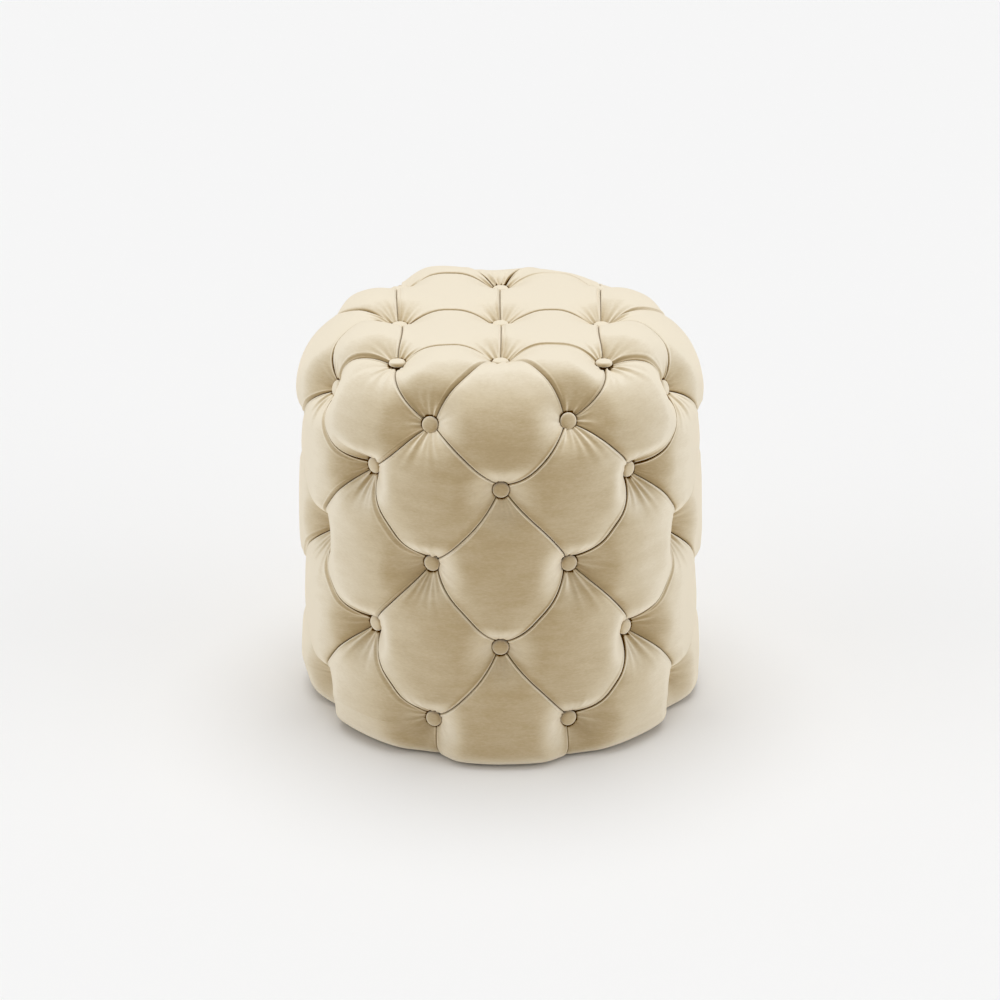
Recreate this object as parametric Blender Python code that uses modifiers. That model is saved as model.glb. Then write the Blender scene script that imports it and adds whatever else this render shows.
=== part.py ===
"""Round pouf with deep-buttoned diamond tufting, as an assembly of separate pieces.

A plywood drum (wall, top board, base board) carries foam, the foam carries a velvet cover in three
cuts, and forty-nine covered buttons draw cover and foam in towards the drum. Each button's tie
passes through cover, foam and drum, and ends in an anchor on the drum's inside. Metres, +Z up, the
origin on the floor at the middle, the front towards -Y.
"""

import math

import bmesh
import bpy
from mathutils import Matrix, Vector

# Tufted body
SEAT_HEIGHT = 0.448  # floor to the highest part of the seat's pillows
CREST_RADIUS = 0.223  # axis to the fullest part of the side pillows
SEAT_ROUND = 0.095  # rounding of the pillows from the side over to the seat
SKIRT_ROUND = 0.017  # rounding of the lowest lobes towards the floor
SKIRT_LIFT = 0.0015  # floor to the lowest lobes
SIDE_TUFT_DEPTH = 0.048  # pillow crest to the bottom of a pit, on the side
SEAT_TUFT_DEPTH = 0.029  # the same on the seat
PIT_SQUARENESS = 4  # exponent of the outline through the pits, where side turns into seat
PLEAT_RISE_SHARE = 0.86  # middle of a pleat, as a share of the tuft's depth
PLEAT_POWER = 0.5  # exponent of a pleat's rise along its length: 1 is half a sine wave
SKIRT_PLEAT_SHARE = 0.25  # foot of the upright pleats, likewise
SWELL_POWER = 0.30  # exponent of a pillow's section: 0.5 is a quarter of an ellipse
CONE_REACH = 0.047  # from a button's tie to where its pull on the pillows ends
GRID_SHARES = (0.0, 0.20, 0.5, 0.80, 1.0)  # lines of a panel's net, from pleat to pleat
CLEARANCE = 0.0003  # gap between pieces that touch

# Button grid
COLUMNS = 16  # places round the side, of which each row uses every other one
SIDE_ROWS = 5
SEAT_CORNER_INSET = 0.0065  # drum wall's inside to the ties in the corners of the seat's grid
LOWEST_ROW_HEIGHT = 0.041
SHOULDER_DROP = 0.0675  # seat's crest to the highest side row
SHOULDER_PITCH = 0.0620  # between the two highest side rows
SHOULDER_TIE_TILT = math.radians(18)  # the highest row's ties lean up towards the shoulder

# Cover
COVER_THICKNESS = 0.0016
COVER_TURN_REACH = 0.008  # drum's outside to where the cloth reaches the base board's level
COVER_TURN_UNDER = 0.018  # drum's outside in to where the cloth ends, stapled under the base
COVER_HOLE_RADIUS = 0.0055  # slit that a tie passes, hidden under the button's head

# Drum
LEAST_FOAM = 0.007  # between the bottom of a side pit and the drum
WALL_THICKNESS = 0.006
BOARD_THICKNESS = 0.015
REBATE_DEPTH = 0.007  # height of the part of a board that sits inside the wall
BOARD_EDGE_ROUND = 0.006
SEAT_BOARD_DROP = 0.038  # seat's crest to the top face of the top board

# Underside
PLINTH_INSET = 0.028  # drum's outside in to the plinth's edge
PLINTH_HEIGHT = 0.008
PLINTH_CHAMFER = 0.002
DUST_COVER_INSET = 0.008  # drum's outside in to the dust cover's edge
DUST_COVER_THICKNESS = 0.0008

# Buttons and their ties
BUTTON_RADIUS = 0.0095
BUTTON_RISE = 0.0050  # rim plane to the top of the dome
BUTTON_BACK = 0.0015  # rim plane to the narrow end of the back
SIDE_BUTTON_SINK = 0.0277  # side crest to the top of a button
SEAT_BUTTON_SINK = 0.0118  # seat crest to the top of a button
DOME_SHARES = ((0.0, 1.0), (0.58, 0.80), (1.0, 0.12))  # of the button's radius and rise
TIE_RADIUS = 0.0012
ANCHOR_RADIUS = 0.0050
ANCHOR_THICKNESS = 0.0024
FOAM_HOLE_RADIUS = 0.0032
FOAM_SLIT = 0.0015  # how much deeper the foam is cut in along the pleats

# Facets and cutters
DRUM_STEPS = 48
BUTTON_STEPS = 10
HOLE_SIDES = 6
ROUND_STEPS = 3
PLEAT_SHARPNESS = 1.15  # how far a pleat's point has to move for its faces to move by one
STEEPEST_STEP = 2.5  # longest way in, in units of depth, where a pillow's flank is steep
WELD = 0.00001
OVERRUN = 0.010  # how far a cutter passes what it cuts

# Levels and radii that follow
PIT_RADIUS = CREST_RADIUS - SIDE_TUFT_DEPTH
PIT_HEIGHT = SEAT_HEIGHT - SEAT_TUFT_DEPTH
CORE_RADIUS = CREST_RADIUS - SEAT_ROUND
CORE_HEIGHT = SEAT_HEIGHT - SEAT_ROUND
DRUM_RADIUS = PIT_RADIUS - LEAST_FOAM
WALL_INNER_RADIUS = DRUM_RADIUS - WALL_THICKNESS
SEAT_PITCH = (WALL_INNER_RADIUS - SEAT_CORNER_INSET) / math.sqrt(2)
SECOND_ROW_HEIGHT = SEAT_HEIGHT - SHOULDER_DROP - SHOULDER_PITCH
ROW_PITCH = (SECOND_ROW_HEIGHT - LOWEST_ROW_HEIGHT) / (SIDE_ROWS - 2)
COVER_EDGE_RADIUS = DRUM_RADIUS - COVER_TURN_UNDER
COVER_TURN_RADIUS = DRUM_RADIUS + COVER_TURN_REACH
PLINTH_RADIUS = DRUM_RADIUS - PLINTH_INSET
DUST_COVER_RADIUS = DRUM_RADIUS - DUST_COVER_INSET
DUST_COVER_BOTTOM = PLINTH_HEIGHT + CLEARANCE
COVER_EDGE_BOTTOM = DUST_COVER_BOTTOM + DUST_COVER_THICKNESS + CLEARANCE
BASE_BOTTOM = COVER_EDGE_BOTTOM + COVER_THICKNESS + CLEARANCE
BASE_TOP = BASE_BOTTOM + BOARD_THICKNESS
TOP_BOARD_TOP = SEAT_HEIGHT - SEAT_BOARD_DROP
TOP_BOARD_BOTTOM = TOP_BOARD_TOP - BOARD_THICKNESS
WALL_BOTTOM = BASE_TOP - REBATE_DEPTH + CLEARANCE
WALL_TOP = TOP_BOARD_BOTTOM + REBATE_DEPTH - CLEARANCE
SKIRT_TOP = SKIRT_LIFT + SKIRT_ROUND
COLUMN_ANGLE = math.tau / COLUMNS
FLAT_LEAD = math.pi / DRUM_STEPS  # turns the drum's flats to face the buttons
SEAT_EDGE_PLACES = ((0, -1), (1, -1), (1, 0), (1, 1), (0, 1), (-1, 1), (-1, 0), (-1, -1))

FOLD_ANGLE = math.radians(75)  # edges sharper than this stay sharp

SEAT, FRONT, BACK = range(3)  # the cover's three cuts


def clear_scene():
    for obj in list(bpy.data.objects):
        bpy.data.objects.remove(obj, do_unlink=True)


def around(angle, radius, height):
    """The point at an angle from the front, turning towards +X."""
    return Vector((radius * math.sin(angle), -radius * math.cos(angle), height))


def mix(low, high, share):
    return low + (high - low) * share


# The grid of buttons

def row_height(row):
    """Height of a side row, from 1, the highest, to SIDE_ROWS."""
    height = LOWEST_ROW_HEIGHT + ROW_PITCH * (SIDE_ROWS - max(row, 2))
    return height + SHOULDER_PITCH if row == 1 else height


def pit(row, column):
    """The grid's point at a row and column; row 0 is the outer ring of the seat's buttons."""
    column %= COLUMNS
    if row:
        return around(column * COLUMN_ANGLE, PIT_RADIUS, row_height(row))
    across, back = SEAT_EDGE_PLACES[column // 2]
    return seat_pit(across, back)


def seat_pit(across, back):
    return Vector((across * SEAT_PITCH, back * SEAT_PITCH, PIT_HEIGHT))


def side_places():
    """Row and column of each side button."""
    return [
        (row, column)
        for row in range(1, SIDE_ROWS + 1)
        for column in range(row % 2, COLUMNS, 2)
    ]


def seat_places():
    return [(across, back) for back in (-1, 0, 1) for across in (-1, 0, 1)]


# The tufted surface lies between one through the pits and one over the crests

def pit_reach(tilt):
    """How far the pits' surface lies from the core's rim, at a tilt above the horizontal."""
    side = abs(math.cos(tilt)) / (PIT_RADIUS - CORE_RADIUS)
    seat = abs(math.sin(tilt)) / (PIT_HEIGHT - CORE_HEIGHT)
    return (side**PIT_SQUARENESS + seat**PIT_SQUARENESS) ** (-1 / PIT_SQUARENESS)


def tufted(base, rise):
    """The point in line with base as seen from the core, at a share of the rise from pit to crest."""
    angle = math.atan2(base.x, -base.y)
    radius = math.hypot(base.x, base.y)
    if base.z <= CORE_HEIGHT:
        return around(angle, mix(PIT_RADIUS, CREST_RADIUS, rise), base.z)
    if radius <= CORE_RADIUS:
        return around(angle, radius, mix(PIT_HEIGHT, SEAT_HEIGHT, rise))
    tilt = math.atan2(base.z - CORE_HEIGHT, radius - CORE_RADIUS)
    reach = mix(pit_reach(tilt), SEAT_ROUND, rise)
    return around(angle, CORE_RADIUS + reach * math.cos(tilt), CORE_HEIGHT + reach * math.sin(tilt))


def pleat(share):
    """Rise along a pleat, from one button to the next."""
    return PLEAT_RISE_SHARE * max(math.sin(math.pi * share), 0.0) ** PLEAT_POWER


def swell(share):
    """Rise across a pillow, from its pleat at 0 to its middle at 1."""
    inward = 1.0 - min(share, 1.0)
    return (1.0 - inward * inward) ** SWELL_POWER


def drawn_in(rise, base, corners):
    """A rise that is no fuller than the cone round the nearest button allows."""
    nearest = min((base - corner).length for corner in corners)
    slack = max(1.0 - nearest / CONE_REACH, 0.0)
    return min(rise, 1.0 - slack * slack)


def part_of(first, second):
    """How far a point lies from first to second, where both are weights."""
    return second / (first + second) if first + second else 0.0


def four_sided_rise(u, v):
    across = swell(1.0 - abs(2.0 * u - 1.0))
    along = swell(1.0 - abs(2.0 * v - 1.0))
    return across * along + pleat(u) * (1.0 - along) + pleat(v) * (1.0 - across)


def three_sided_rise(a, b, c):
    from_a, from_b, from_c = (swell(3.0 * weight) for weight in (a, b, c))
    rise = from_a * from_b * from_c
    rise += pleat(part_of(b, c)) * (1.0 - from_a)
    rise += pleat(part_of(c, a)) * (1.0 - from_b)
    return rise + pleat(part_of(a, b)) * (1.0 - from_c)


def lobe_rise(top, left, right):
    """Rise on the upper part of a lowest lobe, which runs on below without a pleat."""
    from_left, from_right = swell(2.0 * right), swell(2.0 * left)
    rise = from_left * from_right
    rise += pleat(part_of(top, left)) * (1.0 - from_left)
    return rise + pleat(part_of(top, right)) * (1.0 - from_right)


def add_net(surface, rows, cut, middle):
    """Triangles over rows of points, with diagonals that run out from the corners."""
    grid = [[surface.verts.new(point) for point in row] for row in rows]
    last_row, last_place = len(rows) - 2, len(rows[0]) - 2
    for i in range(last_row + 1):
        for j in range(last_place + 1):
            loop = [grid[i][j], grid[i + 1][j], grid[i + 1][j + 1], grid[i][j + 1]]
            if (i < middle) != (j <= last_place / 2):
                loop = loop[1:] + loop[:1]
            for corners in (loop[:3], [loop[0], *loop[2:]]):
                surface.faces.new(corners).material_index = cut


def add_four_sided(surface, corners, cut):
    """A pillow between four buttons, the corners anticlockwise as seen from outside."""
    def point(u, v):
        side, other = mix(corners[0], corners[1], u), mix(corners[3], corners[2], u)
        base = mix(side, other, v)
        return tufted(base, drawn_in(four_sided_rise(u, v), base, corners))
    rows = [[point(u, v) for v in GRID_SHARES] for u in GRID_SHARES]
    add_net(surface, rows, cut, (len(GRID_SHARES) - 1) / 2)


def add_three_sided(surface, corners, cut, rise):
    """A pillow between three buttons, the corners anticlockwise as seen from outside."""
    last = len(GRID_SHARES) - 1
    grid = {}
    for i in range(last + 1):
        for j in range(last + 1 - i):
            weights = [GRID_SHARES[n] for n in (last - i - j, i, j)]
            weights = [weight / sum(weights) for weight in weights]
            base = sum((corner * w for corner, w in zip(corners, weights)), Vector())
            risen = drawn_in(rise(*weights), base, corners)
            grid[i, j] = surface.verts.new(tufted(base, risen))
    for i, j in grid:
        if i + j < last:
            surface.faces.new((grid[i, j], grid[i + 1, j], grid[i, j + 1])).material_index = cut
        if i + j < last - 1:
            corners_of_gap = (grid[i + 1, j], grid[i + 1, j + 1], grid[i, j + 1])
            surface.faces.new(corners_of_gap).material_index = cut


def skirt_levels():
    """Crest and pleat line, as (radius, height), from the rounding's top to the cloth's edge."""
    levels = []
    for turn in (0.0, math.pi / 4, math.pi / 2):
        height = SKIRT_TOP - SKIRT_ROUND * math.sin(turn)
        crest = CREST_RADIUS - SKIRT_ROUND * (1.0 - math.cos(turn))
        levels.append(((crest, height), (PIT_RADIUS, height)))
    for radius in (COVER_TURN_RADIUS, COVER_EDGE_RADIUS):
        levels.append(((radius, COVER_EDGE_BOTTOM),) * 2)
    return levels


def add_skirt(surface, left, right, cut):
    """The lower part of a lowest lobe, turned in under the base between two upright pleats."""
    def point(share, crest, foot, pleat_rise):
        swelling = swell(2.0 * share) * swell(2.0 - 2.0 * share)
        base = mix(left, right, share)
        base.z = foot[1]
        rise = drawn_in(mix(pleat_rise, 1.0, swelling), base, (left, right))
        angle = math.atan2(base.x, -base.y)
        return around(angle, mix(foot[0], crest[0], rise), mix(foot[1], crest[1], rise))
    start = (CREST_RADIUS, LOWEST_ROW_HEIGHT), (PIT_RADIUS, LOWEST_ROW_HEIGHT), 0.0
    levels = [start] + [(*level, SKIRT_PLEAT_SHARE) for level in skirt_levels()]
    rows = [[point(share, *level) for share in GRID_SHARES] for level in levels]
    add_net(surface, rows, cut, len(rows))


def cut_of(column):
    """The side cover's cut that a column's pillows belong to, joined near +X and -X."""
    return FRONT if (column + 3) % COLUMNS < COLUMNS / 2 else BACK


def tufted_surface():
    """The whole upholstered surface, open only under the base."""
    surface = bmesh.new()
    for across in (-1, 0):
        for back in (-1, 0):
            square = [(0, 0), (1, 0), (1, 1), (0, 1)]
            corners = [seat_pit(across + i, back + j) for i, j in square]
            add_four_sided(surface, corners, SEAT)
    for column in range(COLUMNS):
        if column % 2:
            corners = [pit(0, column - 1), pit(1, column), pit(0, column + 1)]
            add_three_sided(surface, corners, SEAT, three_sided_rise)
        for row in range(column % 2, SIDE_ROWS - 1, 2):
            corners = [pit(row, column), pit(row + 1, column - 1)]
            corners += [pit(row + 2, column), pit(row + 1, column + 1)]
            add_four_sided(surface, corners, cut_of(column))
        if not column % 2:
            left, right = pit(SIDE_ROWS, column - 1), pit(SIDE_ROWS, column + 1)
            corners = [pit(SIDE_ROWS - 1, column), left, right]
            add_three_sided(surface, corners, cut_of(column), lobe_rise)
            add_skirt(surface, left, right, cut_of(column))
    bmesh.ops.remove_doubles(surface, verts=surface.verts, dist=WELD)
    surface.normal_update()
    inward = surface.verts.layers.float_vector.new("inward")
    for vert in surface.verts:
        vert[inward] = inward_step(vert)
    return surface


def inward_step(vert):
    """The way a point goes to lie one unit deeper, above the skirt along its line to the core."""
    if vert.co.z < LOWEST_ROW_HEIGHT:
        return -vert.normal * vert.calc_shell_factor()
    angle = math.atan2(vert.co.x, -vert.co.y)
    radius = math.hypot(vert.co.x, vert.co.y)
    core = around(angle, min(radius, CORE_RADIUS), min(vert.co.z, CORE_HEIGHT))
    if vert.co.z <= CORE_HEIGHT:
        core = around(angle, 0.0, vert.co.z)
    towards = (core - vert.co).normalized()
    return towards / max(-vert.normal.dot(towards), 1.0 / STEEPEST_STEP)


def set_in(verts, inward, depth):
    for vert in verts:
        vert.co += vert[inward] * depth


# Objects

def collection(name, hidden=False):
    made = bpy.data.collections.new(name)
    made.hide_render = hidden
    bpy.context.scene.collection.children.link(made)
    return made


def material(name, colour, roughness, metallic=0.0):
    made = bpy.data.materials.new(name)
    made.use_nodes = True
    shader = made.node_tree.nodes["Principled BSDF"]
    shader.inputs["Base Color"].default_value = (*colour, 1.0)
    shader.inputs["Roughness"].default_value = roughness
    shader.inputs["Metallic"].default_value = metallic
    made.diffuse_color = (*colour, 1.0)
    return made


def add_object(name, mesh, group, surface_material=None, parent=None):
    obj = bpy.data.objects.new(name, mesh)
    group.objects.link(obj)
    if surface_material:
        mesh.materials.clear()
        mesh.materials.append(surface_material)
    else:
        obj.hide_render = True
        obj.display_type = "WIRE"
    obj.parent = parent
    return obj


def mesh_from(name, shape):
    mesh = bpy.data.meshes.new(name)
    shape.to_mesh(mesh)
    shape.free()
    return mesh


def smooth(mesh, angle):
    mesh.shade_smooth()
    mesh.set_sharp_from_angle(angle=angle)


def profile_mesh(name, points, closed=False, lead=0.0):
    """A line of (radius, height) points, for a Screw modifier to turn, set off by a lead angle."""
    edges = [(k, k + 1) for k in range(len(points) - 1)]
    if closed:
        edges.append((len(points) - 1, 0))
    mesh = bpy.data.meshes.new(name)
    line = [(radius * math.cos(lead), radius * math.sin(lead), height) for radius, height in points]
    mesh.from_pydata(line, edges, [])
    return mesh


def add_turned(name, outline, group, surface_material, parent, closed=False):
    """A piece of the drum or underside, turned from half of its section."""
    mesh = profile_mesh(name, outline, closed, FLAT_LEAD)
    return turn(add_object(name, mesh, group, surface_material, parent), DRUM_STEPS)


def turn(obj, steps):
    screw = obj.modifiers.new("Turned", "SCREW")
    screw.axis = "Z"
    screw.steps = screw.render_steps = steps
    screw.use_merge_vertices = True
    screw.merge_threshold = WELD
    screw.use_smooth_shade = False
    return obj


def boolean(obj, cutter, operation="DIFFERENCE"):
    modifier = obj.modifiers.new(cutter.name, "BOOLEAN")
    modifier.operation = operation
    modifier.object = cutter
    modifier.solver = "EXACT"


def frame_at(place, outward):
    """A matrix at place with its Z axis along outward."""
    return Matrix.Translation(place) @ outward.to_track_quat("Z", "Y").to_matrix().to_4x4()


def tie_tilt(row):
    return SHOULDER_TIE_TILT if row == 1 else 0.0


def side_frame(row, column, reach):
    """A frame on a side tie, with its Z axis outwards, this far out from the bottom of the pit."""
    outward = around(column * COLUMN_ANGLE, math.cos(tie_tilt(row)), math.sin(tie_tilt(row)))
    return frame_at(tufted(pit(row, column), 0.0) + outward * reach, outward)


def wall_reach(row, radius):
    """Where a side tie crosses the drum's surface of a radius, as a reach, so below zero."""
    bottom = tufted(pit(row, 0), 0.0)
    return (radius * math.cos(FLAT_LEAD) - math.hypot(bottom.x, bottom.y)) / math.cos(tie_tilt(row))


def seat_frame(across, back, height):
    return Matrix.Translation((across * SEAT_PITCH, back * SEAT_PITCH, height))


def add_prism(shape, sides, radius, length, frame):
    bmesh.ops.create_cone(
        shape,
        cap_ends=True,
        segments=sides,
        radius1=radius,
        radius2=radius,
        depth=length,
        matrix=frame,
    )


def hole_cutter(name, group, radius, frames, length):
    """Prisms along the ties, each centred on its frame."""
    shape = bmesh.new()
    for frame in frames:
        add_prism(shape, HOLE_SIDES, radius, length, frame)
    return add_object(name, mesh_from(name, shape), group)


def turned_cutter(name, group, radius, bottom, top):
    """A disc whose flats are in line with the drum's."""
    shape = bmesh.new()
    middle = Matrix.Translation((0.0, 0.0, (top + bottom) / 2))
    add_prism(shape, DRUM_STEPS, radius, top - bottom, middle @ Matrix.Rotation(FLAT_LEAD, 4, "Z"))
    return add_object(name, mesh_from(name, shape), group)


# Cover

def open_tie_slits(surface):
    """Opens a small slit at the bottom of each pit, with a point on every edge that meets there."""
    places = [pit(*place) for place in side_places()]
    places += [seat_pit(*place) for place in seat_places()]
    pits = [tufted(place, 0.0) for place in places]
    found = [v for v in surface.verts if any((v.co - place).length < WELD for place in pits)]
    ends = bmesh.ops.bevel(
        surface,
        geom=found,
        offset=COVER_HOLE_RADIUS,
        offset_type="OFFSET",
        segments=1,
        affect="VERTICES",
    )
    bmesh.ops.delete(surface, geom=ends["faces"], context="FACES_ONLY")


def keep_cut(surface, cut):
    """Drops the faces of the other cuts, and draws the seams back by the clearance."""
    seams = set()
    for edge in surface.edges:
        cuts = {face.material_index for face in edge.link_faces}
        if len(cuts) > 1 and cut in cuts:
            seams.update(edge.verts)
    drawn = {}
    for vert in seams:
        own = [face for face in vert.link_faces if face.material_index == cut]
        along = Vector()
        for edge in vert.link_edges:
            if len({face.material_index for face in edge.link_faces}) > 1:
                direction = (edge.other_vert(vert).co - vert.co).normalized()
                along += direction if direction.dot(along) >= 0.0 else -direction
        inward = sum((face.calc_center_median() - vert.co for face in own), Vector())
        if along.length:
            along.normalize()
            inward -= along * inward.dot(along)
        drawn[vert] = inward.normalized() * CLEARANCE
    for vert, shift in drawn.items():
        vert.co += shift
    others = [face for face in surface.faces if face.material_index != cut]
    bmesh.ops.delete(surface, geom=others, context="FACES")


def add_cover(name, cut, group, velvet, parent):
    """One cut of the cover; its inner face is set in as the foam is, so the two stay parallel."""
    surface = tufted_surface()
    open_tie_slits(surface)
    keep_cut(surface, cut)
    lining = bmesh.ops.extrude_face_region(surface, geom=surface.faces[:], use_keep_orig=True)
    inner = [item for item in lining["geom"] if isinstance(item, bmesh.types.BMVert)]
    set_in(inner, surface.verts.layers.float_vector["inward"], COVER_THICKNESS)
    bmesh.ops.recalc_face_normals(surface, faces=surface.faces)
    for face in surface.faces:
        face.material_index = 0
    cover = add_object(name, mesh_from(name, surface), group, velvet, parent)
    smooth(cover.data, FOLD_ANGLE)


# Foam

def foam_block():
    """The whole foam as one closed block: the tufted surface, set in by the cover's thickness."""
    block = tufted_surface()
    inward = block.verts.layers.float_vector["inward"]
    pleated = [vert for vert in block.verts if vert.calc_shell_factor() > PLEAT_SHARPNESS]
    set_in(pleated, inward, FOAM_SLIT)
    set_in(block.verts, inward, COVER_THICKNESS + CLEARANCE)
    rim = [edge for edge in block.edges if edge.is_boundary]
    bmesh.ops.contextual_create(block, geom=rim)
    bmesh.ops.recalc_face_normals(block, faces=block.faces)
    for face in block.faces:
        face.material_index = 0
    return block


def add_foam(group, cutters, foam, parent):
    seat = add_object("seat_foam", mesh_from("seat_foam", foam_block()), group, foam, parent)
    side = add_object("side_foam", mesh_from("side_foam", foam_block()), group, foam, parent)
    reach, over = CREST_RADIUS + OVERRUN, SEAT_HEIGHT + OVERRUN
    above = turned_cutter("above_the_board", cutters, reach, TOP_BOARD_TOP + CLEARANCE, over)
    boolean(seat, above, "INTERSECT")
    boolean(side, turned_cutter("seat_level", cutters, reach, TOP_BOARD_TOP, over))
    within = DRUM_RADIUS + CLEARANCE
    boolean(side, turned_cutter("drum_space", cutters, within, -OVERRUN, TOP_BOARD_TOP + OVERRUN))
    length = 2.0 * (PIT_RADIUS + OVERRUN - DRUM_RADIUS)
    frames = [side_frame(*place, 0.0) for place in side_places()]
    boolean(side, hole_cutter("side_foam_holes", cutters, FOAM_HOLE_RADIUS, frames, length))
    length = 2.0 * (PIT_HEIGHT + OVERRUN - TOP_BOARD_TOP)
    frames = [seat_frame(*place, TOP_BOARD_TOP) for place in seat_places()]
    boolean(seat, hole_cutter("seat_foam_holes", cutters, FOAM_HOLE_RADIUS, frames, length))
    smooth(seat.data, FOLD_ANGLE)
    smooth(side.data, FOLD_ANGLE)


# Drum

def tie_hole_radius():
    """Circumradius of a hole's prism that clears the tie on every side."""
    return (TIE_RADIUS + CLEARANCE) / math.cos(math.pi / HOLE_SIDES)


def rounded_edge():
    """The top board's upper edge, from its top face outwards and down."""
    turns = [math.pi / 2 * (1.0 - k / ROUND_STEPS) for k in range(ROUND_STEPS + 1)]
    radius, height = DRUM_RADIUS - BOARD_EDGE_ROUND, TOP_BOARD_TOP - BOARD_EDGE_ROUND
    return [
        (radius + BOARD_EDGE_ROUND * math.cos(turn), height + BOARD_EDGE_ROUND * math.sin(turn))
        for turn in turns
    ]


def add_drum(group, cutters, plywood, parent):
    inner = WALL_INNER_RADIUS - CLEARANCE
    outline = [(DRUM_RADIUS, WALL_TOP), (DRUM_RADIUS, WALL_BOTTOM)]
    outline += [(WALL_INNER_RADIUS, WALL_BOTTOM), (WALL_INNER_RADIUS, WALL_TOP)]
    wall = add_turned("drum_wall", outline, group, plywood, parent, closed=True)
    frames = [side_frame(*place, wall_reach(place[0], DRUM_RADIUS)) for place in side_places()]
    length = 2.0 * (WALL_THICKNESS + OVERRUN)
    boolean(wall, hole_cutter("wall_holes", cutters, tie_hole_radius(), frames, length))

    step = TOP_BOARD_BOTTOM + REBATE_DEPTH
    outline = [(0.0, TOP_BOARD_TOP), *rounded_edge(), (DRUM_RADIUS, step), (inner, step)]
    outline += [(inner, TOP_BOARD_BOTTOM), (0.0, TOP_BOARD_BOTTOM)]
    top = add_turned("top_board", outline, group, plywood, parent)
    frames = [seat_frame(*place, TOP_BOARD_TOP) for place in seat_places()]
    length = 2.0 * (BOARD_THICKNESS + OVERRUN)
    boolean(top, hole_cutter("top_board_holes", cutters, tie_hole_radius(), frames, length))

    step = BASE_TOP - REBATE_DEPTH
    outline = [(0.0, BASE_TOP), (inner, BASE_TOP), (inner, step), (DRUM_RADIUS, step)]
    outline += [(DRUM_RADIUS, BASE_BOTTOM), (0.0, BASE_BOTTOM)]
    add_turned("base_board", outline, group, plywood, parent)


def add_underside(group, cloth, paint, parent):
    top = DUST_COVER_BOTTOM + DUST_COVER_THICKNESS
    outline = [(0.0, top), (DUST_COVER_RADIUS, top)]
    outline += [(DUST_COVER_RADIUS, DUST_COVER_BOTTOM), (0.0, DUST_COVER_BOTTOM)]
    add_turned("dust_cover", outline, group, cloth, parent)
    foot = PLINTH_RADIUS - PLINTH_CHAMFER
    outline = [(0.0, PLINTH_HEIGHT), (PLINTH_RADIUS, PLINTH_HEIGHT)]
    outline += [(PLINTH_RADIUS, PLINTH_CHAMFER), (foot, 0.0), (0.0, 0.0)]
    add_turned("plinth", outline, group, paint, parent)


# Buttons

def button_profile(name, anchor_level):
    """Half section of a button with its tie; its rim lies in the plane of height 0."""
    outline = [(BUTTON_RADIUS * out, BUTTON_RISE * up) for out, up in DOME_SHARES]
    outline += [(TIE_RADIUS, -BUTTON_BACK), (TIE_RADIUS, anchor_level)]
    outline += [(ANCHOR_RADIUS, anchor_level), (ANCHOR_RADIUS, anchor_level - ANCHOR_THICKNESS)]
    return profile_mesh(name, [*outline, (0.0, anchor_level - ANCHOR_THICKNESS)])


def add_side_buttons(name, rows, group, velvet, parent):
    """Rows whose ties have one tilt; an anchor's upper edge touches the wall first."""
    tilt = tie_tilt(rows[0])
    anchor = wall_reach(rows[0], WALL_INNER_RADIUS) - ANCHOR_RADIUS * math.tan(tilt)
    anchor -= CLEARANCE / math.cos(tilt)
    rim = SIDE_TUFT_DEPTH - SIDE_BUTTON_SINK - BUTTON_RISE
    mesh = button_profile(name, anchor - rim)
    for row, column in side_places():
        if row in rows:
            button = add_object(f"button_row{row}_{column:02d}", mesh, group, velvet, parent)
            button.matrix_world = side_frame(row, column, rim)
            turn(button, BUTTON_STEPS)


def add_seat_buttons(group, velvet, parent):
    rim = SEAT_HEIGHT - SEAT_BUTTON_SINK - BUTTON_RISE
    mesh = button_profile("seat_button", TOP_BOARD_BOTTOM - CLEARANCE - rim)
    for number, place in enumerate(seat_places(), start=1):
        button = add_object(f"button_seat_{number}", mesh, group, velvet, parent)
        button.matrix_world = seat_frame(*place, rim)
        turn(button, BUTTON_STEPS)


def build():
    clear_scene()
    parts = collection("tufted_pouf")
    cutters = collection("cutters", hidden=True)
    root = bpy.data.objects.new("pouf", None)
    parts.objects.link(root)
    velvet = material("cream_velvet", (0.72, 0.62, 0.46), 0.85)
    foam = material("upholstery_foam", (0.86, 0.80, 0.55), 0.95)
    plywood = material("plywood", (0.62, 0.45, 0.27), 0.65)
    cloth = material("dust_cloth", (0.03, 0.03, 0.03), 0.95)
    paint = material("black_paint", (0.02, 0.02, 0.02), 0.5)
    add_cover("seat_cover", SEAT, parts, velvet, root)
    add_cover("front_cover", FRONT, parts, velvet, root)
    add_cover("back_cover", BACK, parts, velvet, root)
    add_foam(parts, cutters, foam, root)
    add_drum(parts, cutters, plywood, root)
    add_underside(parts, cloth, paint, root)
    add_side_buttons("shoulder_button", (1,), parts, velvet, root)
    add_side_buttons("side_button", range(2, SIDE_ROWS + 1), parts, velvet, root)
    add_seat_buttons(parts, velvet, root)


build()
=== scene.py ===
"""Looks of the round tufted pouf: velvet pillows with folded pleats, covered buttons, base and studio.

The upholstery is one surface of panels between the buttons. Each panel is a net whose lines crowd
towards its pleats, and every point lies at a depth below a smooth crest surface, in line with the
drum's core. Depth comes from the pillow's swell, the folded pleat, the pull of the buttons and
the small folds that fan out from them. Metres, +Z up, front towards -Y.
"""

import math

import bpy
import numpy as np
from mathutils import Matrix, Vector, noise


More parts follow.
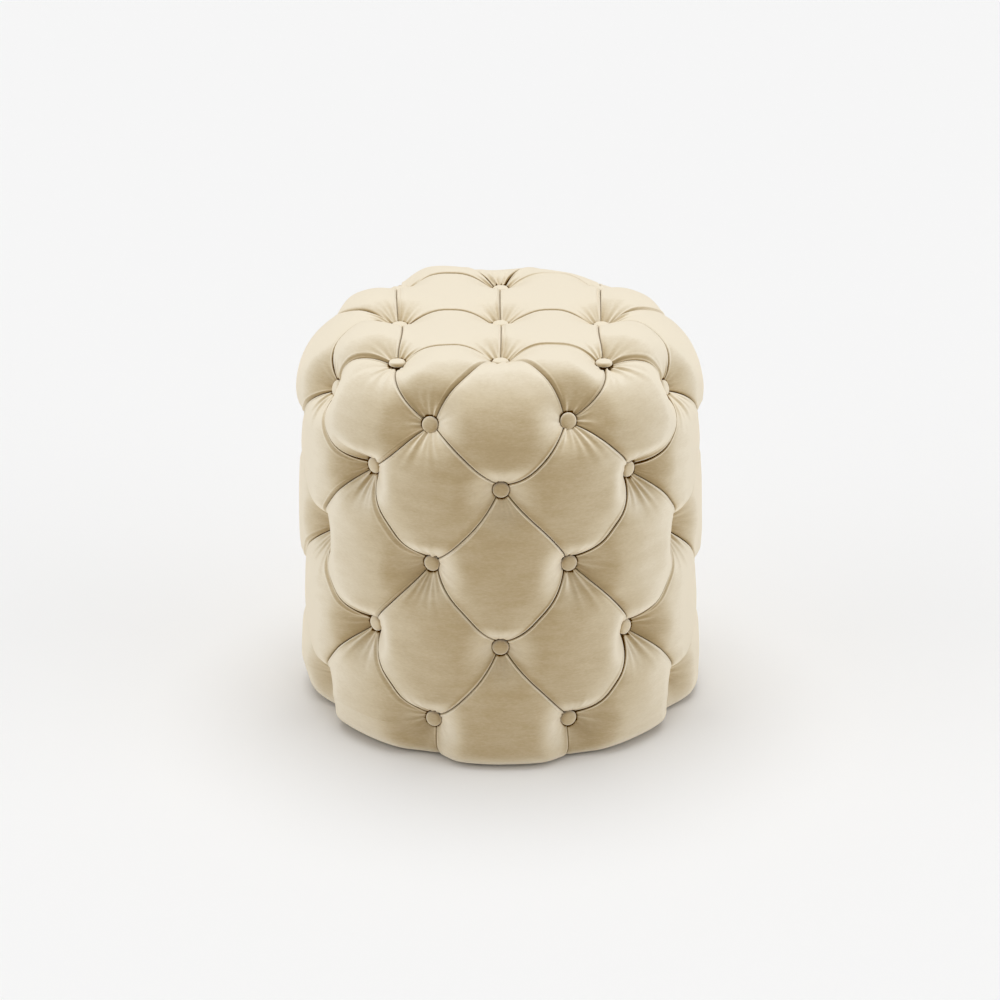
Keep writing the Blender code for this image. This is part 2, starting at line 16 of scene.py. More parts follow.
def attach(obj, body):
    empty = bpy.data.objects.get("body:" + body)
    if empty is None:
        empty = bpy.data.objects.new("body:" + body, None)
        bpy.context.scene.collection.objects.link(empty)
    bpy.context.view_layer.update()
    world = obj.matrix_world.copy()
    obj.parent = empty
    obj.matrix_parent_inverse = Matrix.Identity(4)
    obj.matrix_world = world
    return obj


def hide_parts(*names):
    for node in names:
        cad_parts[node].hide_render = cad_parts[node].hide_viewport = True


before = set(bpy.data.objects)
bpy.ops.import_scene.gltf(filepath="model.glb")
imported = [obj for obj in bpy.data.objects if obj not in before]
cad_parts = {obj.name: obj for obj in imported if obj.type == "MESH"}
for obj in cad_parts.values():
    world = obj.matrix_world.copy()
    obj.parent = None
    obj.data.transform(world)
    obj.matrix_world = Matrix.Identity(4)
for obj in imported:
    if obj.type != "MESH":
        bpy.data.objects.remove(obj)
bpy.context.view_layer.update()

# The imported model's sizes
SEAT_HEIGHT = 0.448
CREST_RADIUS = 0.223
SEAT_ROUND = 0.095
SKIRT_ROUND = 0.017
SKIRT_LIFT = 0.0015
PIT_RADIUS = 0.175
COLUMNS = 16
SIDE_ROWS = 5
ROW_HEIGHTS = {1: 0.3805, 2: 0.3185, 3: 0.226, 4: 0.1335, 5: 0.041}
SEAT_PITCH = 0.10996
SHOULDER_TILT = math.radians(18)
BOARD_BOTTOM = 0.395
COVER_EDGE_RADIUS = 0.150
COVER_EDGE_BOTTOM = 0.0094
COVER_TURN_RADIUS = 0.176
CLEARANCE = 0.0003
BUTTON_RADIUS = 0.0095
BUTTON_RISE = 0.0050
BUTTON_BACK = 0.0015
SIDE_RIM_REACH = 0.0153  # bottom of a side pit out to the plane of a button's rim
SEAT_RIM_HEIGHT = 0.4312
TIE_RADIUS = 0.0012
ANCHOR_RADIUS = 0.0050
ANCHOR_THICKNESS = 0.0024
ANCHOR_GAP = 0.0006  # keeps a flat anchor off the wall's curve
WALL_INNER_RADIUS = 0.162

# The seat's outer buttons, in steps to the right and back, from the front one towards +X
SEAT_EDGE_PLACES = ((0, -1), (1, -1), (1, 0), (1, 1), (0, 1), (-1, 1), (-1, 0), (-1, -1))

# Levels and radii that follow
CORE_RADIUS = CREST_RADIUS - SEAT_ROUND
CORE_HEIGHT = SEAT_HEIGHT - SEAT_ROUND
SKIRT_TOP = SKIRT_LIFT + SKIRT_ROUND
COLUMN_ANGLE = math.tau / COLUMNS
MM = 0.001

# Lines of a panel's net, as distances from the pleat at a panel's middle
NET_LINES = (0.0, 0.0003, 0.00065, 0.0011, 0.0016, 0.0022, 0.0029, 0.0037, 0.0046, 0.0056,
             0.0067, 0.0079, 0.0092, 0.0106, 0.0120, 0.0135, 0.0150, 0.0166, 0.0183, 0.0201,
             0.0221, 0.0244, 0.0271, 0.0304, 0.0345, 0.0395, 0.0455, 0.0520, 0.0587)
EDGE_STEPS = 2 * (len(NET_LINES) - 1)

SEAT, FRONT, BACK = range(3)  # the three cuts of the cover
TINY = 1e-9  # keeps a division away from nought

rng = np.random.default_rng(11)


def mix(low, high, share):
    return low + (high - low) * share


def unit(vectors):
    """Vectors of length one, along the last axis."""
    return vectors / np.maximum(np.linalg.norm(vectors, axis=-1, keepdims=True), TINY)


def around(angle, radius, height):
    """The point at an angle from the front, turning towards +X; arrays give an array of points."""
    return np.stack(np.broadcast_arrays(radius * np.sin(angle), -radius * np.cos(angle), height), -1)


# Where the cloth passes under each button

SHIFTS = {  # small wanderings of the front buttons, sideways and up
    (2, 14): (0.0015, 0.0040),
    (2, 0): (0.0006, -0.0010),
    (2, 2): (0.0015, -0.0010),
    (4, 14): (0.0012, 0.0028),
    (4, 2): (-0.0012, -0.0015),
    (1, 15): (-0.0020, -0.0003),
    (1, 1): (-0.0020, 0.0045),
    (5, 15): (0.0010, 0.0),
    (5, 1): (0.0007, 0.0006),
}


def side_tilt(row):
    """How far a side button's tie slopes up."""
    return SHOULDER_TILT if row == 1 else 0.0


def side_axis(row, column):
    """Outward direction of a side button's tie."""
    return around(column * COLUMN_ANGLE, math.cos(side_tilt(row)), math.sin(side_tilt(row)))


def rim_centre(row, column):
    """Middle of a side button's rim."""
    column %= COLUMNS
    across, up = SHIFTS.get((row, column), (0.0, 0.0))
    angle = column * COLUMN_ANGLE + across / CREST_RADIUS
    return around(angle, PIT_RADIUS, ROW_HEIGHTS[row] + up) + side_axis(row, column) * SIDE_RIM_REACH


SEAT_DROPS = {(0, 0): 0.0015, (0, -1): 0.0020, (0, 1): 0.0020}  # seat buttons sink a little unevenly
SEAT_DROP = 0.0030


def seat_rim(across, back):
    """Middle of a seat button's rim."""
    drop = SEAT_DROPS.get((across, back), SEAT_DROP)
    return np.array((across * SEAT_PITCH, back * SEAT_PITCH, SEAT_RIM_HEIGHT - drop))


def corner_name(row, column):
    """Name of the button at a row and column; row 0 is the edge of the seat."""
    column %= COLUMNS
    return (0, *SEAT_EDGE_PLACES[column // 2]) if row == 0 else (row, column)


UNDER_RIM = 0.0017  # cloth under a button's head, below the rim


def corner_place(name):
    """Where the cloth passes under a button's head."""
    if name[0] == 0:
        return seat_rim(*name[1:]) - np.array((0.0, 0.0, UNDER_RIM))
    return rim_centre(*name) - side_axis(*name) * UNDER_RIM


# The crest surface and depths below it

def core_point(base):
    """The nearest point of the core to each base point, and the direction out from it."""
    angle = np.arctan2(base[..., 0], -base[..., 1])
    radius = np.hypot(base[..., 0], base[..., 1])
    level = base[..., 2]
    core_radius = np.minimum(radius, CORE_RADIUS)
    core_level = np.minimum(level, CORE_HEIGHT)
    tilt = np.arctan2(level - core_level, radius - core_radius)
    core = np.stack((core_radius * np.sin(angle), -core_radius * np.cos(angle), core_level), -1)
    out = np.stack((np.cos(tilt) * np.sin(angle), -np.cos(tilt) * np.cos(angle), np.sin(tilt)), -1)
    return core, out


def at_depth(base, depth):
    """Points moved in line with the core to a depth below the crest surface."""
    core, out = core_point(base)
    return core + out * (SEAT_ROUND - np.asarray(depth))[..., None]


def depth_of(base):
    """How deep a point lies below the crest surface."""
    core, _ = core_point(base)
    return SEAT_ROUND - np.linalg.norm(base - core, axis=-1)


# Pleats

MEAN_DEPTH = 0.010  # level on which distances between pleats and buttons are measured
PLEAT_SAMPLES = 81

# press is the strength of each kind's painted crease shade
SIDE_PLEAT = {"sink": 0.0062, "curl": 0.0022, "groove": 0.0046, "press": 1.0, "lip": 1.0}
UPRIGHT_PLEAT = {"sink": 0.0085, "curl": 0.0050, "groove": 0.0026, "press": 0.40, "lip": 0.25}
SEAT_PLEAT = {"sink": 0.0018, "curl": 0.0022, "groove": 0.0036, "press": 0.6, "lip": 1.0}
SHOULDER_PLEAT = {"sink": 0.0036, "curl": 0.0022, "groove": 0.0044, "press": 0.8, "lip": 1.0}

# How far each pleat's middle hangs below the straight line between its buttons, in millimetres
SAGS = {
    ((1, 15), (2, 0)): -8.0, ((1, 1), (2, 0)): 0.6, ((2, 0), (3, 15)): 3.7, ((2, 0), (3, 1)): -6.0,
    ((3, 15), (4, 0)): -3.5, ((3, 1), (4, 0)): 1.6, ((1, 15), (2, 14)): 3.4, ((1, 1), (2, 2)): -3.7,
    ((3, 15), (4, 14)): 1.5, ((3, 1), (4, 2)): -4.3, ((2, 14), (3, 15)): 0.5, ((2, 2), (3, 1)): 1.6,
    ((1, 13), (2, 14)): 9.0, ((2, 14), (3, 13)): -4.5, ((3, 13), (4, 14)): 8.0,
    ((4, 14), (5, 15)): 1.3, ((4, 14), (5, 13)): -6.0, ((4, 2), (5, 1)): 6.0, ((4, 2), (5, 3)): -4.8,
    ((2, 2), (3, 3)): -5.5, ((4, 0), (5, 15)): 5.2, ((4, 0), (5, 1)): -2.7, ((1, 3), (2, 2)): 8.0,
    ((0, -1, -1), (1, 15)): 8.0, ((0, 0, -1), (1, 15)): 7.5, ((0, 0, -1), (1, 1)): -0.5,
    ((0, 1, -1), (1, 1)): 10.0, ((0, -1, -1), (1, 13)): -5.0, ((0, 1, -1), (1, 3)): -2.5,
    ((0, -1, 0), (1, 13)): 12.0, ((0, 1, 0), (1, 3)): 12.0,
    ((0, -1, -1), (0, 0, -1)): -9.0, ((0, 0, -1), (0, 1, -1)): -11.0, ((0, -1, 0), (0, 0, 0)): -7.0,
    ((0, 0, 0), (0, 1, 0)): -6.0, ((0, -1, 0), (0, -1, -1)): 3.0, ((0, 1, -1), (0, 1, 0)): 4.0,
    ((0, 0, -1), (0, 0, 0)): -1.0,
}

# Flat bands beside the visible pleats: 0 above the pleat or 1 below it, and width in millimetres
BANDS = {
    ((2, 14), (3, 15)): (1, 7.0), ((4, 14), (5, 15)): (1, 6.5), ((3, 15), (4, 0)): (1, 3.2),
    ((1, 15), (2, 0)): (1, 2.6), ((2, 0), (3, 1)): (1, 2.4), ((1, 13), (2, 14)): (1, 6.0),
    ((3, 13), (4, 14)): (1, 6.5), ((1, 15), (2, 14)): (0, 3.6), ((3, 15), (4, 14)): (0, 3.2),
    ((4, 0), (5, 15)): (0, 2.8), ((1, 1), (2, 0)): (0, 3.2), ((3, 1), (4, 0)): (0, 2.8),
    ((2, 2), (3, 1)): (0, 5.5), ((4, 2), (5, 1)): (0, 5.5), ((1, 3), (2, 2)): (0, 5.0),
    ((3, 1), (4, 2)): (1, 2.4), ((1, 1), (2, 2)): (1, 3.2), ((2, 2), (3, 3)): (1, 4.2),
    ((4, 2), (5, 3)): (1, 4.4), ((4, 0), (5, 1)): (1, 2.4), ((0, 0, -1), (1, 15)): (0, 3.0),
    ((0, 1, -1), (1, 1)): (0, 3.5), ((0, 0, -1), (1, 1)): (0, 3.0), ((0, -1, -1), (1, 15)): (1, 3.0),
}

# Where the photograph shows neither, both come from these ranges, in millimetres
GUESSED_SAGS = (-5.0, 5.0)
GUESSED_WIDTHS = (2.4, 6.0)


def raised(places):
    """Places moved out to the level on which distances are measured."""
    return at_depth(places, MEAN_DEPTH)


class Pleat:
    """A folded line between two buttons; it sags a little, and the cloth above laps over it."""

    def __init__(self, first, last, kind, sag, band):
        self.kind = kind
        self.band_side, self.band_width = band
        self.fade = rng.uniform(0.0, 1.0)
        low, high = corner_place(first), corner_place(last)
        middle = (low + high) / 2
        _, out = core_point(middle)
        down = np.cross(out, high - low)
        towards = np.array((0.0, -1.0, 0.0)) if kind is SEAT_PLEAT else np.array((0.0, 0.0, -1.0))
        self.down = unit(down * (1.0 if np.dot(down, towards) >= 0.0 else -1.0))
        ends = raised(low), raised(high)
        self.lay(*ends, raised(middle + sag * self.down) - (ends[0] + ends[1]) / 2)

    def lay(self, first, last, bow):
        """Draw the line between two raised ends, with its middle moved by bow."""
        self.first, self.last, self.bow = first, last, bow
        self.line = raised(self.base(np.linspace(0.0, 1.0, PLEAT_SAMPLES)))
        self.middle = self.line[PLEAT_SAMPLES // 2]

    def base(self, share):
        share = np.asarray(share)[..., None]
        return mix(self.first, self.last, share) + 4.0 * share * (1.0 - share) * self.bow

    def near(self, points):
        """Each point's distance from the pleat, and its share along it."""
        start, step = self.line[:-1], np.diff(self.line, axis=0)
        to_point = points[:, None, :] - start[None]
        share = np.clip((to_point * step).sum(-1) / (step * step).sum(-1), 0.0, 1.0)
        distance = np.linalg.norm(to_point - share[..., None] * step, axis=-1)
        best = distance.argmin(axis=1)
        pick = np.arange(len(points))
        along = (best + share[pick, best]) / (PLEAT_SAMPLES - 1)
        return distance[pick, best], along


# By column: how far the foot of an upright leans sideways, and how far a foot is drawn in
FOOT_LEANS = {15: 0.010, 1: -0.008, 13: 0.004, 3: -0.012, 7: 0.008, 9: -0.008}
FOOT_DRAWS = {12: 0.012, 13: 0.011, 14: 0.010, 15: 0.004, 1: -0.002, 2: 0.006, 3: 0.008, 4: 0.001}


def foot_lean(name):
    """Angle that an upright pleat has turned by when it reaches the floor."""
    return FOOT_LEANS.get(name[1], 0.0) / PIT_RADIUS


class Upright(Pleat):
    """The short upright pleat from a lowest button down to the floor; the nearer lobe laps over it."""

    def __init__(self, top):
        self.kind = UPRIGHT_PLEAT
        self.band_side, self.band_width, self.fade = 0, 0.0, 0.0
        first = raised(corner_place(top))
        along = unit(np.array((-first[1], first[0], 0.0)))
        self.down = along if top[1] < COLUMNS / 2 else -along
        angle = math.atan2(first[0], -first[1]) + foot_lean(top)
        self.lay(first, around(angle, math.hypot(*first[:2]), SKIRT_LIFT), np.zeros(3))


pleats = {}


def half_turned(name):
    """The button on the far side of the pouf."""
    if name[0] == 0:
        return (0, -name[1], -name[2])
    return (name[0], (name[1] + COLUMNS // 2) % COLUMNS)


def seen_or(table, key, guess):
    """The visible pleats follow the photograph, the far side repeats them, and the rest are guessed."""
    turned = tuple(sorted(half_turned(name) for name in key))
    return table.get(key, table.get(turned, guess))


def pleat_between(one, other):
    """The pleat between two buttons, made when it is first asked for."""
    key = tuple(sorted((one, other)))
    if key not in pleats:
        rows = {key[0][0], key[1][0]}
        kind = SEAT_PLEAT if rows == {0} else SHOULDER_PLEAT if 0 in rows else SIDE_PLEAT
        side, width = seen_or(BANDS, key, (int(rng.integers(2)), rng.uniform(*GUESSED_WIDTHS)))
        sag = seen_or(SAGS, key, rng.uniform(*GUESSED_SAGS))
        pleats[key] = Pleat(*key, kind, sag * MM, (side, width * MM))
    return pleats[key]


def upright_below(name):
    """The upright pleat below a lowest button."""
    if name not in pleats:
        pleats[name] = Upright(name)
    return pleats[name]


# A panel as its pleats and buttons see it

def decay(distance, reach):
    """One at the line itself, less and less away from it."""
    return np.exp(-distance / reach)


def hump(distance, width, power=2):
    """One in the middle, less to both sides; a higher power has a flatter top."""
    return np.exp(-((distance / width) ** power))


def within(distance, reach, blur):
    """One within a reach and nought beyond it, with a blurred edge."""
    return 1.0 / (1.0 + np.exp((distance - reach) / blur))


class PanelSide:
    """A panel's points seen from one of its pleats; a lapping panel lies above the pleat."""

    def __init__(self, pleat, points, centre):
        self.pleat, self.kind = pleat, pleat.kind
        self.distance, self.along = pleat.near(points)
        self.lapping = np.dot(centre - pleat.middle, pleat.down) < 0.0


class PanelCorner:
    """A panel's points seen from one of its buttons; turn is the angle from the panel's middle."""

    def __init__(self, name, points, centre):
        place = corner_place(name)
        spot = raised(place)
        to_point = points - spot
        inward = unit(centre - spot)
        side = np.cross(core_point(place)[1], inward)
        self.name = name
        self.bottom = depth_of(place)
        self.distance = np.linalg.norm(to_point, axis=-1)
        self.below = -unit(to_point)[:, 2] if name[0] else np.zeros(len(points))
        self.turn = np.arctan2(to_point @ side, to_point @ inward)


# Swell of the pillows

PILLOW_REACH = 0.050  # pleat to the top of a pillow
LAP_SHARE = 0.75  # of that reach, above a pleat
UNDER_SHARE = 1.15  # and below it
CROWN_POWER = 2.0
CURL_REACH = 0.0036  # over which the cloth curls down into a pleat
LAP_CURL_SHARE = 0.15  # of it above the pleat


def pillow_depth(sides, lift):
    """Depth of a pillow that swells between its pleats, its middle lifted over the crests."""
    flat, weight, sink, curl = 1.0, TINY, 0.0, 0.0
    for side in sides:
        reach = PILLOW_REACH * (LAP_SHARE if side.lapping else UNDER_SHARE)
        crown = np.clip(1.0 - side.distance / reach, 0.0, 1.0) ** CROWN_POWER
        flat = flat * (1.0 - crown)
        weight = weight + crown
        sink = sink + crown * side.kind["sink"]
        curled = decay(side.distance, CURL_REACH * (LAP_CURL_SHARE if side.lapping else 1.0))
        curl = np.maximum(curl, curled * side.kind["curl"])
    return sink / weight * (1.0 - flat) + curl - lift * flat


# The folded pleats

LAP_GROOVE_REACH = 0.00030
UNDER_GROOVE_REACH = 0.00042
UNDER_LIP_RISE = 0.0014  # the cloth below a pleat rises to a lip beside it
UNDER_LIP_PLACE = 0.0016
UNDER_LIP_WIDTH = 0.0007
LAP_SHIFT = 0.0005  # the cloth above moves down over the pleat
LAP_REACH = 0.0010
TUCK = 0.0006  # and the pleat itself lies higher, under it
TUCK_REACH = 0.0001
BAND_RIDGE = 0.0009  # along the far edge of a flat band
BAND_RIDGE_WIDTH = 0.0011
BAND_DIP = 0.0010  # within it
BAND_DIP_PLACE = 0.5
BAND_DIP_WIDTH = 0.35
BAND_BLUNTNESS = 0.7  # a lower power narrows the band nearer to its ends
BAND_GAIN = 3.0  # how fast a band rises from its ends
BAND_START = 0.4


def slit_depth(sides):
    """The slit along each pleat, less the lip below it."""
    groove, lip = 0.0, 0.0
    for side in sides:
        reach = LAP_GROOVE_REACH if side.lapping else UNDER_GROOVE_REACH
        groove = np.maximum(groove, side.kind["groove"] * decay(side.distance, reach))
        if not side.lapping:
            ridge = UNDER_LIP_RISE * hump(side.distance - UNDER_LIP_PLACE, UNDER_LIP_WIDTH)
            lip = np.maximum(lip, ridge * side.kind["lip"])
    return groove - lip


def band_depth(sides):
    """The flat bands beside the pleats."""
    depth = 0.0
    for side in sides:
        pleat = side.pleat
        if pleat.band_width and pleat.band_side == (0 if side.lapping else 1):
            arch = np.clip(np.sin(math.pi * side.along), 0.0, 1.0)
            width = pleat.band_width * arch**BAND_BLUNTNESS
            present = np.clip(arch * BAND_GAIN - BAND_START, 0.0, 1.0)
            ridge = hump(side.distance - width, BAND_RIDGE_WIDTH)
            dip = hump(side.distance - BAND_DIP_PLACE * width, BAND_DIP_WIDTH * width + TINY)
            depth = depth - BAND_RIDGE * present * ridge + BAND_DIP * present * dip
    return depth


def lap_shift(sides):
    """How far the points move along the surface, so that the cloth above laps over each pleat."""
    shift = 0.0
    for side in sides:
        tucked = decay(side.distance, TUCK_REACH)
        over = LAP_SHIFT * hump(side.distance, LAP_REACH) * (1.0 - tucked) if side.lapping else 0.0
        shift = shift + (over - TUCK * tucked)[:, None] * side.pleat.down
    return shift


# The pull of the buttons

HEAD_REACH = 0.0084  # under a button's head the cloth is held flat
HEAD_BLUR = 0.0005
PULL_REACH = 0.0420
PULL_POWER = 2.0
BELOW_SHARE = 0.15  # the pull reaches further below a button, and less far straight above it
ABOVE_SHARE = 0.35
OVERHEAD_FROM = 0.72
PULL_SHARES = {(2, 4): 0.75, (2, 12): 0.75}  # buttons whose pull reaches less far
FOLD_START = 0.010  # a fold keeps its height this far from the button
FOLD_SPREAD = 0.075  # how fast a fold widens along its length
FOLD_HOLLOW = 1.2  # the hollows beside a fold, against its height
RAY_JITTER = 0.12
RAY_RISES = (0.55, 1.2)
RAY_WIDTHS = (0.0009, 0.0016)
RAY_LENGTHS = (0.7, 1.25)


def fold_rays(count, spread, rise, length):
    """Small folds that fan out from a button into a panel: direction, height, width and length."""
    rays = []
    for number in range(count):
        at = spread * (2.0 * (number + 0.5) / count - 1.0) + rng.uniform(-RAY_JITTER, RAY_JITTER)
        height, width = rise * rng.uniform(*RAY_RISES), rng.uniform(*RAY_WIDTHS)
        rays.append((at, height, width, length * rng.uniform(*RAY_LENGTHS)))
    return rays


def fold_depth(corners, folds):
    """The small folds: each a ridge with a hollow along both sides."""
    depth = 0.0
    for corner, rays in zip(corners, folds):
        for at, rise, width, length in rays:
            across = corner.distance * np.sin(corner.turn - at)
            along = np.clip(corner.distance * np.cos(corner.turn - at), 0.0, None)
            envelope = hump(np.maximum(along - FOLD_START, 0.0), length) * (along > 0.0)
            ratio = (across / (width + FOLD_SPREAD * along)) ** 2
            depth = depth - rise * envelope * (1.0 - FOLD_HOLLOW * ratio) * np.exp(-ratio)
    return depth


def pulled(depth, corners):
    """The depth once each button has drawn the cloth down to its pit."""
    for corner in corners:
        overhead = np.clip((-corner.below - OVERHEAD_FROM) / (1.0 - OVERHEAD_FROM), 0.0, 1.0)
        reach = 1.0 + BELOW_SHARE * np.maximum(corner.below, 0.0) - ABOVE_SHARE * overhead
        reach *= PULL_REACH * PULL_SHARES.get(corner.name, 1.0)
        beyond = np.maximum(corner.distance - HEAD_REACH, 0.0)
        depth = depth + (corner.bottom - depth) * np.clip(1.0 - beyond / reach, 0.0, 1.0) ** PULL_POWER
    return depth


# The pile's pressed and painted shade: 1 where it is pressed flat and painted in shade, 0 where it stands
# untouched, and below 0 where a painted highlight makes it paler

CREASE_SHADE_REACH = 0.0006  # painted crease shade, above a pleat
LAP_SHADOW_REACH = 0.0011  # painted shadow of the lap, below a pleat
FADE = 0.35  # the painted crease shade is lighter in the middle of a pleat
LAP_EDGE_SHADE = 0.17  # painted shade along the edge of a lapping pillow
LAP_EDGE_SHADE_REACH = 0.0060
LIP_HIGHLIGHT = 0.28  # painted highlight over the lip below a pleat
LIP_HIGHLIGHT_PLACE = 0.0022
LIP_HIGHLIGHT_WIDTH = 0.0007
RING_REACH = 0.0106  # the pile is pressed under the head and painted in shade this far around a button
RING_SHADOW_RISE = 0.0010  # and painted shadow this much further above it
RING_BLUR = 0.0003
SHADE_ABOVE = 0.22  # painted shade on the cloth above a button
SHADE_ABOVE_REACH = 0.0130
SHADE_ABOVE_FROM = 0.2
SHADE_ABOVE_SPAN = 0.5


# Pressed pile under a button's head with painted shade round it, wider above as a painted shadow
def ring_press_and_shadow(corner):
    reach = RING_REACH + RING_SHADOW_RISE * np.maximum(-corner.below, 0.0)
    return within(corner.distance, reach, RING_BLUR)


# Painted shade on the cloth above a side button
def shade_above_button(corner):
    above = np.clip((-corner.below - SHADE_ABOVE_FROM) / SHADE_ABOVE_SPAN, 0.0, 1.0) * (corner.name[0] > 1)
    return SHADE_ABOVE * above * hump(corner.distance - RING_REACH, SHADE_ABOVE_REACH)


# Painted shade in the crease of a pleat: painted shadow of the lap below it, painted crease shade and
# painted edge shade above it
def paint_crease_shade(side):
    held = side.kind["press"] * (1.0 - FADE * np.sin(math.pi * side.along) ** 2 * side.pleat.fade)
    if not side.lapping:
        return held * hump(side.distance, LAP_SHADOW_REACH, 4)
    edge = LAP_EDGE_SHADE * hump(side.distance, LAP_EDGE_SHADE_REACH)
    return np.maximum(held * hump(side.distance, CREASE_SHADE_REACH), edge)


def pressed_pile(sides, corners):
    """Pressed pile and painted shade at each point of a panel, less a painted highlight over the lips."""
    ring = np.max([ring_press_and_shadow(corner) for corner in corners], axis=0)
    others = [shade_above_button(corner) for corner in corners] + [paint_crease_shade(side) for side in sides]
    pale = 0.0
    # painted highlight over the lip below each pleat
    for side in sides:
        if not side.lapping:
            lit_lip = hump(side.distance - LIP_HIGHLIGHT_PLACE, LIP_HIGHLIGHT_WIDTH)
            pale = np.maximum(pale, lit_lip * side.kind["lip"])
    return np.max([ring, *others], axis=0) - LIP_HIGHLIGHT * pale * (1.0 - ring)


def panel_depth(points, edges, names, lift, folds):
    """Depth of a panel's points, their shift along the surface, and their pressed and painted shade."""
    centre = points.mean(axis=0)
    sides = [PanelSide(edge, points, centre) for edge in edges]
    corners = [PanelCorner(name, points, centre) for name in names]
    loose = 1.0 - np.max([within(corner.distance, HEAD_REACH, HEAD_BLUR) for corner in corners], axis=0)
    depth = pulled(pillow_depth(sides, lift), corners)
    depth += (slit_depth(sides) + fold_depth(corners, folds) + band_depth(sides)) * loose
    return depth, lap_shift(sides) * loose[:, None], pressed_pile(sides, corners)


BROAD_SCALE = 14.0
BROAD_SWELL = 0.0011
FINE_SCALE = 42.0
FINE_SWELL = 0.00035
FINE_PLACE = Vector((7.0, 3.0, 5.0))


def unevenness(points):
    """Slow swells of the filling under the cloth."""
    swells = []
    for point in points:
        broad = noise.noise(Vector(point) * BROAD_SCALE)
        fine = noise.noise(Vector(point) * FINE_SCALE + FINE_PLACE)
        swells.append(BROAD_SWELL * broad + FINE_SWELL * fine)
    return np.array(swells)


# Nets of the panels, with their shared lines

class Surface:
    """Points and faces of the whole upholstery; points on shared pleats are made once."""

    def __init__(self):
        self.points, self.pressed, self.faces, self.cuts = [], [], [], []
        self.shared = {}

    def add(self, point, pressed=0.0, key=None):
        if key is not None and key in self.shared:
            return self.shared[key]
        self.points.append(point)
        self.pressed.append(pressed)
        if key is not None:
            self.shared[key] = len(self.points) - 1
        return len(self.points) - 1

    def add_face(self, cut, *corners):
        self.faces.append(corners)
        self.cuts.append(cut)


def net_shares():
    half = [line / (2.0 * NET_LINES[-1]) for line in NET_LINES]
    return np.array(half + [1.0 - share for share in reversed(half[:-1])])


SHARES = net_shares()


def edge_key(one, other, step):
    """Key of a point on the pleat between two corners, from either end."""
    if step in (0, EDGE_STEPS):
        return ("corner", one if step == 0 else other)
    return ("pleat", one, other, step) if one < other else ("pleat", other, one, EDGE_STEPS - step)


def edge_base(one, other):
    pleat = pleat_between(one, other)
    shares = SHARES if one < other else 1.0 - SHARES
    return pleat.base(shares)


def finish_points(base, edges, names, lift, folds):
    """A panel's points on the cloth, and the pressed and painted shade at each."""
    depth, shift, pressed = panel_depth(raised(base), edges, names, lift, folds)
    made = at_depth(base, depth) + shift
    _, out = core_point(base)
    return made + out * unevenness(made)[:, None], pressed


def quad_key(names, i, j):
    """Key of a net point on one of a four-cornered panel's pleats; the others have none."""
    a, b, c, d = names
    if j == 0:
        return edge_key(a, b, i)
    if j == EDGE_STEPS:
        return edge_key(d, c, i)
    if i == 0:
        return edge_key(a, d, j)
    return edge_key(b, c, j) if i == EDGE_STEPS else None


def add_quad_panel(surface, names, cut, lift, folds):
    """A pillow between four buttons, the corners anticlockwise as seen from outside."""
    a, b, c, d = names
    low, high = edge_base(a, b), edge_base(d, c)
    left, right = edge_base(a, d), edge_base(b, c)
    u, v = SHARES[:, None, None], SHARES[None, :, None]
    corners = mix(mix(low[0], low[-1], u), mix(high[0], high[-1], u), v)
    base = mix(low[:, None], high[:, None], v) + mix(left[None], right[None], u) - corners
    edges = [pleat_between(*pair) for pair in ((a, b), (b, c), (c, d), (d, a))]
    made, pressed = finish_points(base.reshape(-1, 3), edges, names, lift, folds)
    made, pressed = made.reshape(base.shape), pressed.reshape(base.shape[:2])
    index = np.zeros(pressed.shape, int)
    for i, j in np.ndindex(pressed.shape):
        index[i, j] = surface.add(made[i, j], pressed[i, j], quad_key(names, i, j))
    add_faces(surface, index, cut)


def add_faces(surface, index, cut):
    """Four-cornered faces between the rows of a grid of points."""
    for i in range(index.shape[0] - 1):
        for j in range(index.shape[1] - 1):
            surface.add_face(cut, index[i, j], index[i + 1, j], index[i + 1, j + 1], index[i, j + 1])


def triangle_weights():
    """Shares of the three corners in each point of a three-cornered net."""
    weights = {}
    for i in range(EDGE_STEPS + 1):
        for j in range(EDGE_STEPS + 1 - i):
            three = np.array([SHARES[EDGE_STEPS - i - j], SHARES[i], SHARES[j]])
            weights[i, j] = three / three.sum()
    return weights


WEIGHTS = triangle_weights()


def lobe_key(left, right, j):
    """Key of a point on the line where a lowest lobe goes over into its skirt."""
    if j in (0, EDGE_STEPS):
        return ("corner", left if j == 0 else right)
    return ("lobe", left, j)


def triangle_key(names, i, j, lobe):
    """Key of a net point on one of a three-cornered panel's edges; the others have none."""
    a, b, c = names
    if j == 0:
        return edge_key(a, b, i)
    if i == 0:
        return edge_key(a, c, j)
    if i + j < EDGE_STEPS:
        return None
    return lobe_key(b, c, j) if lobe else edge_key(b, c, j)


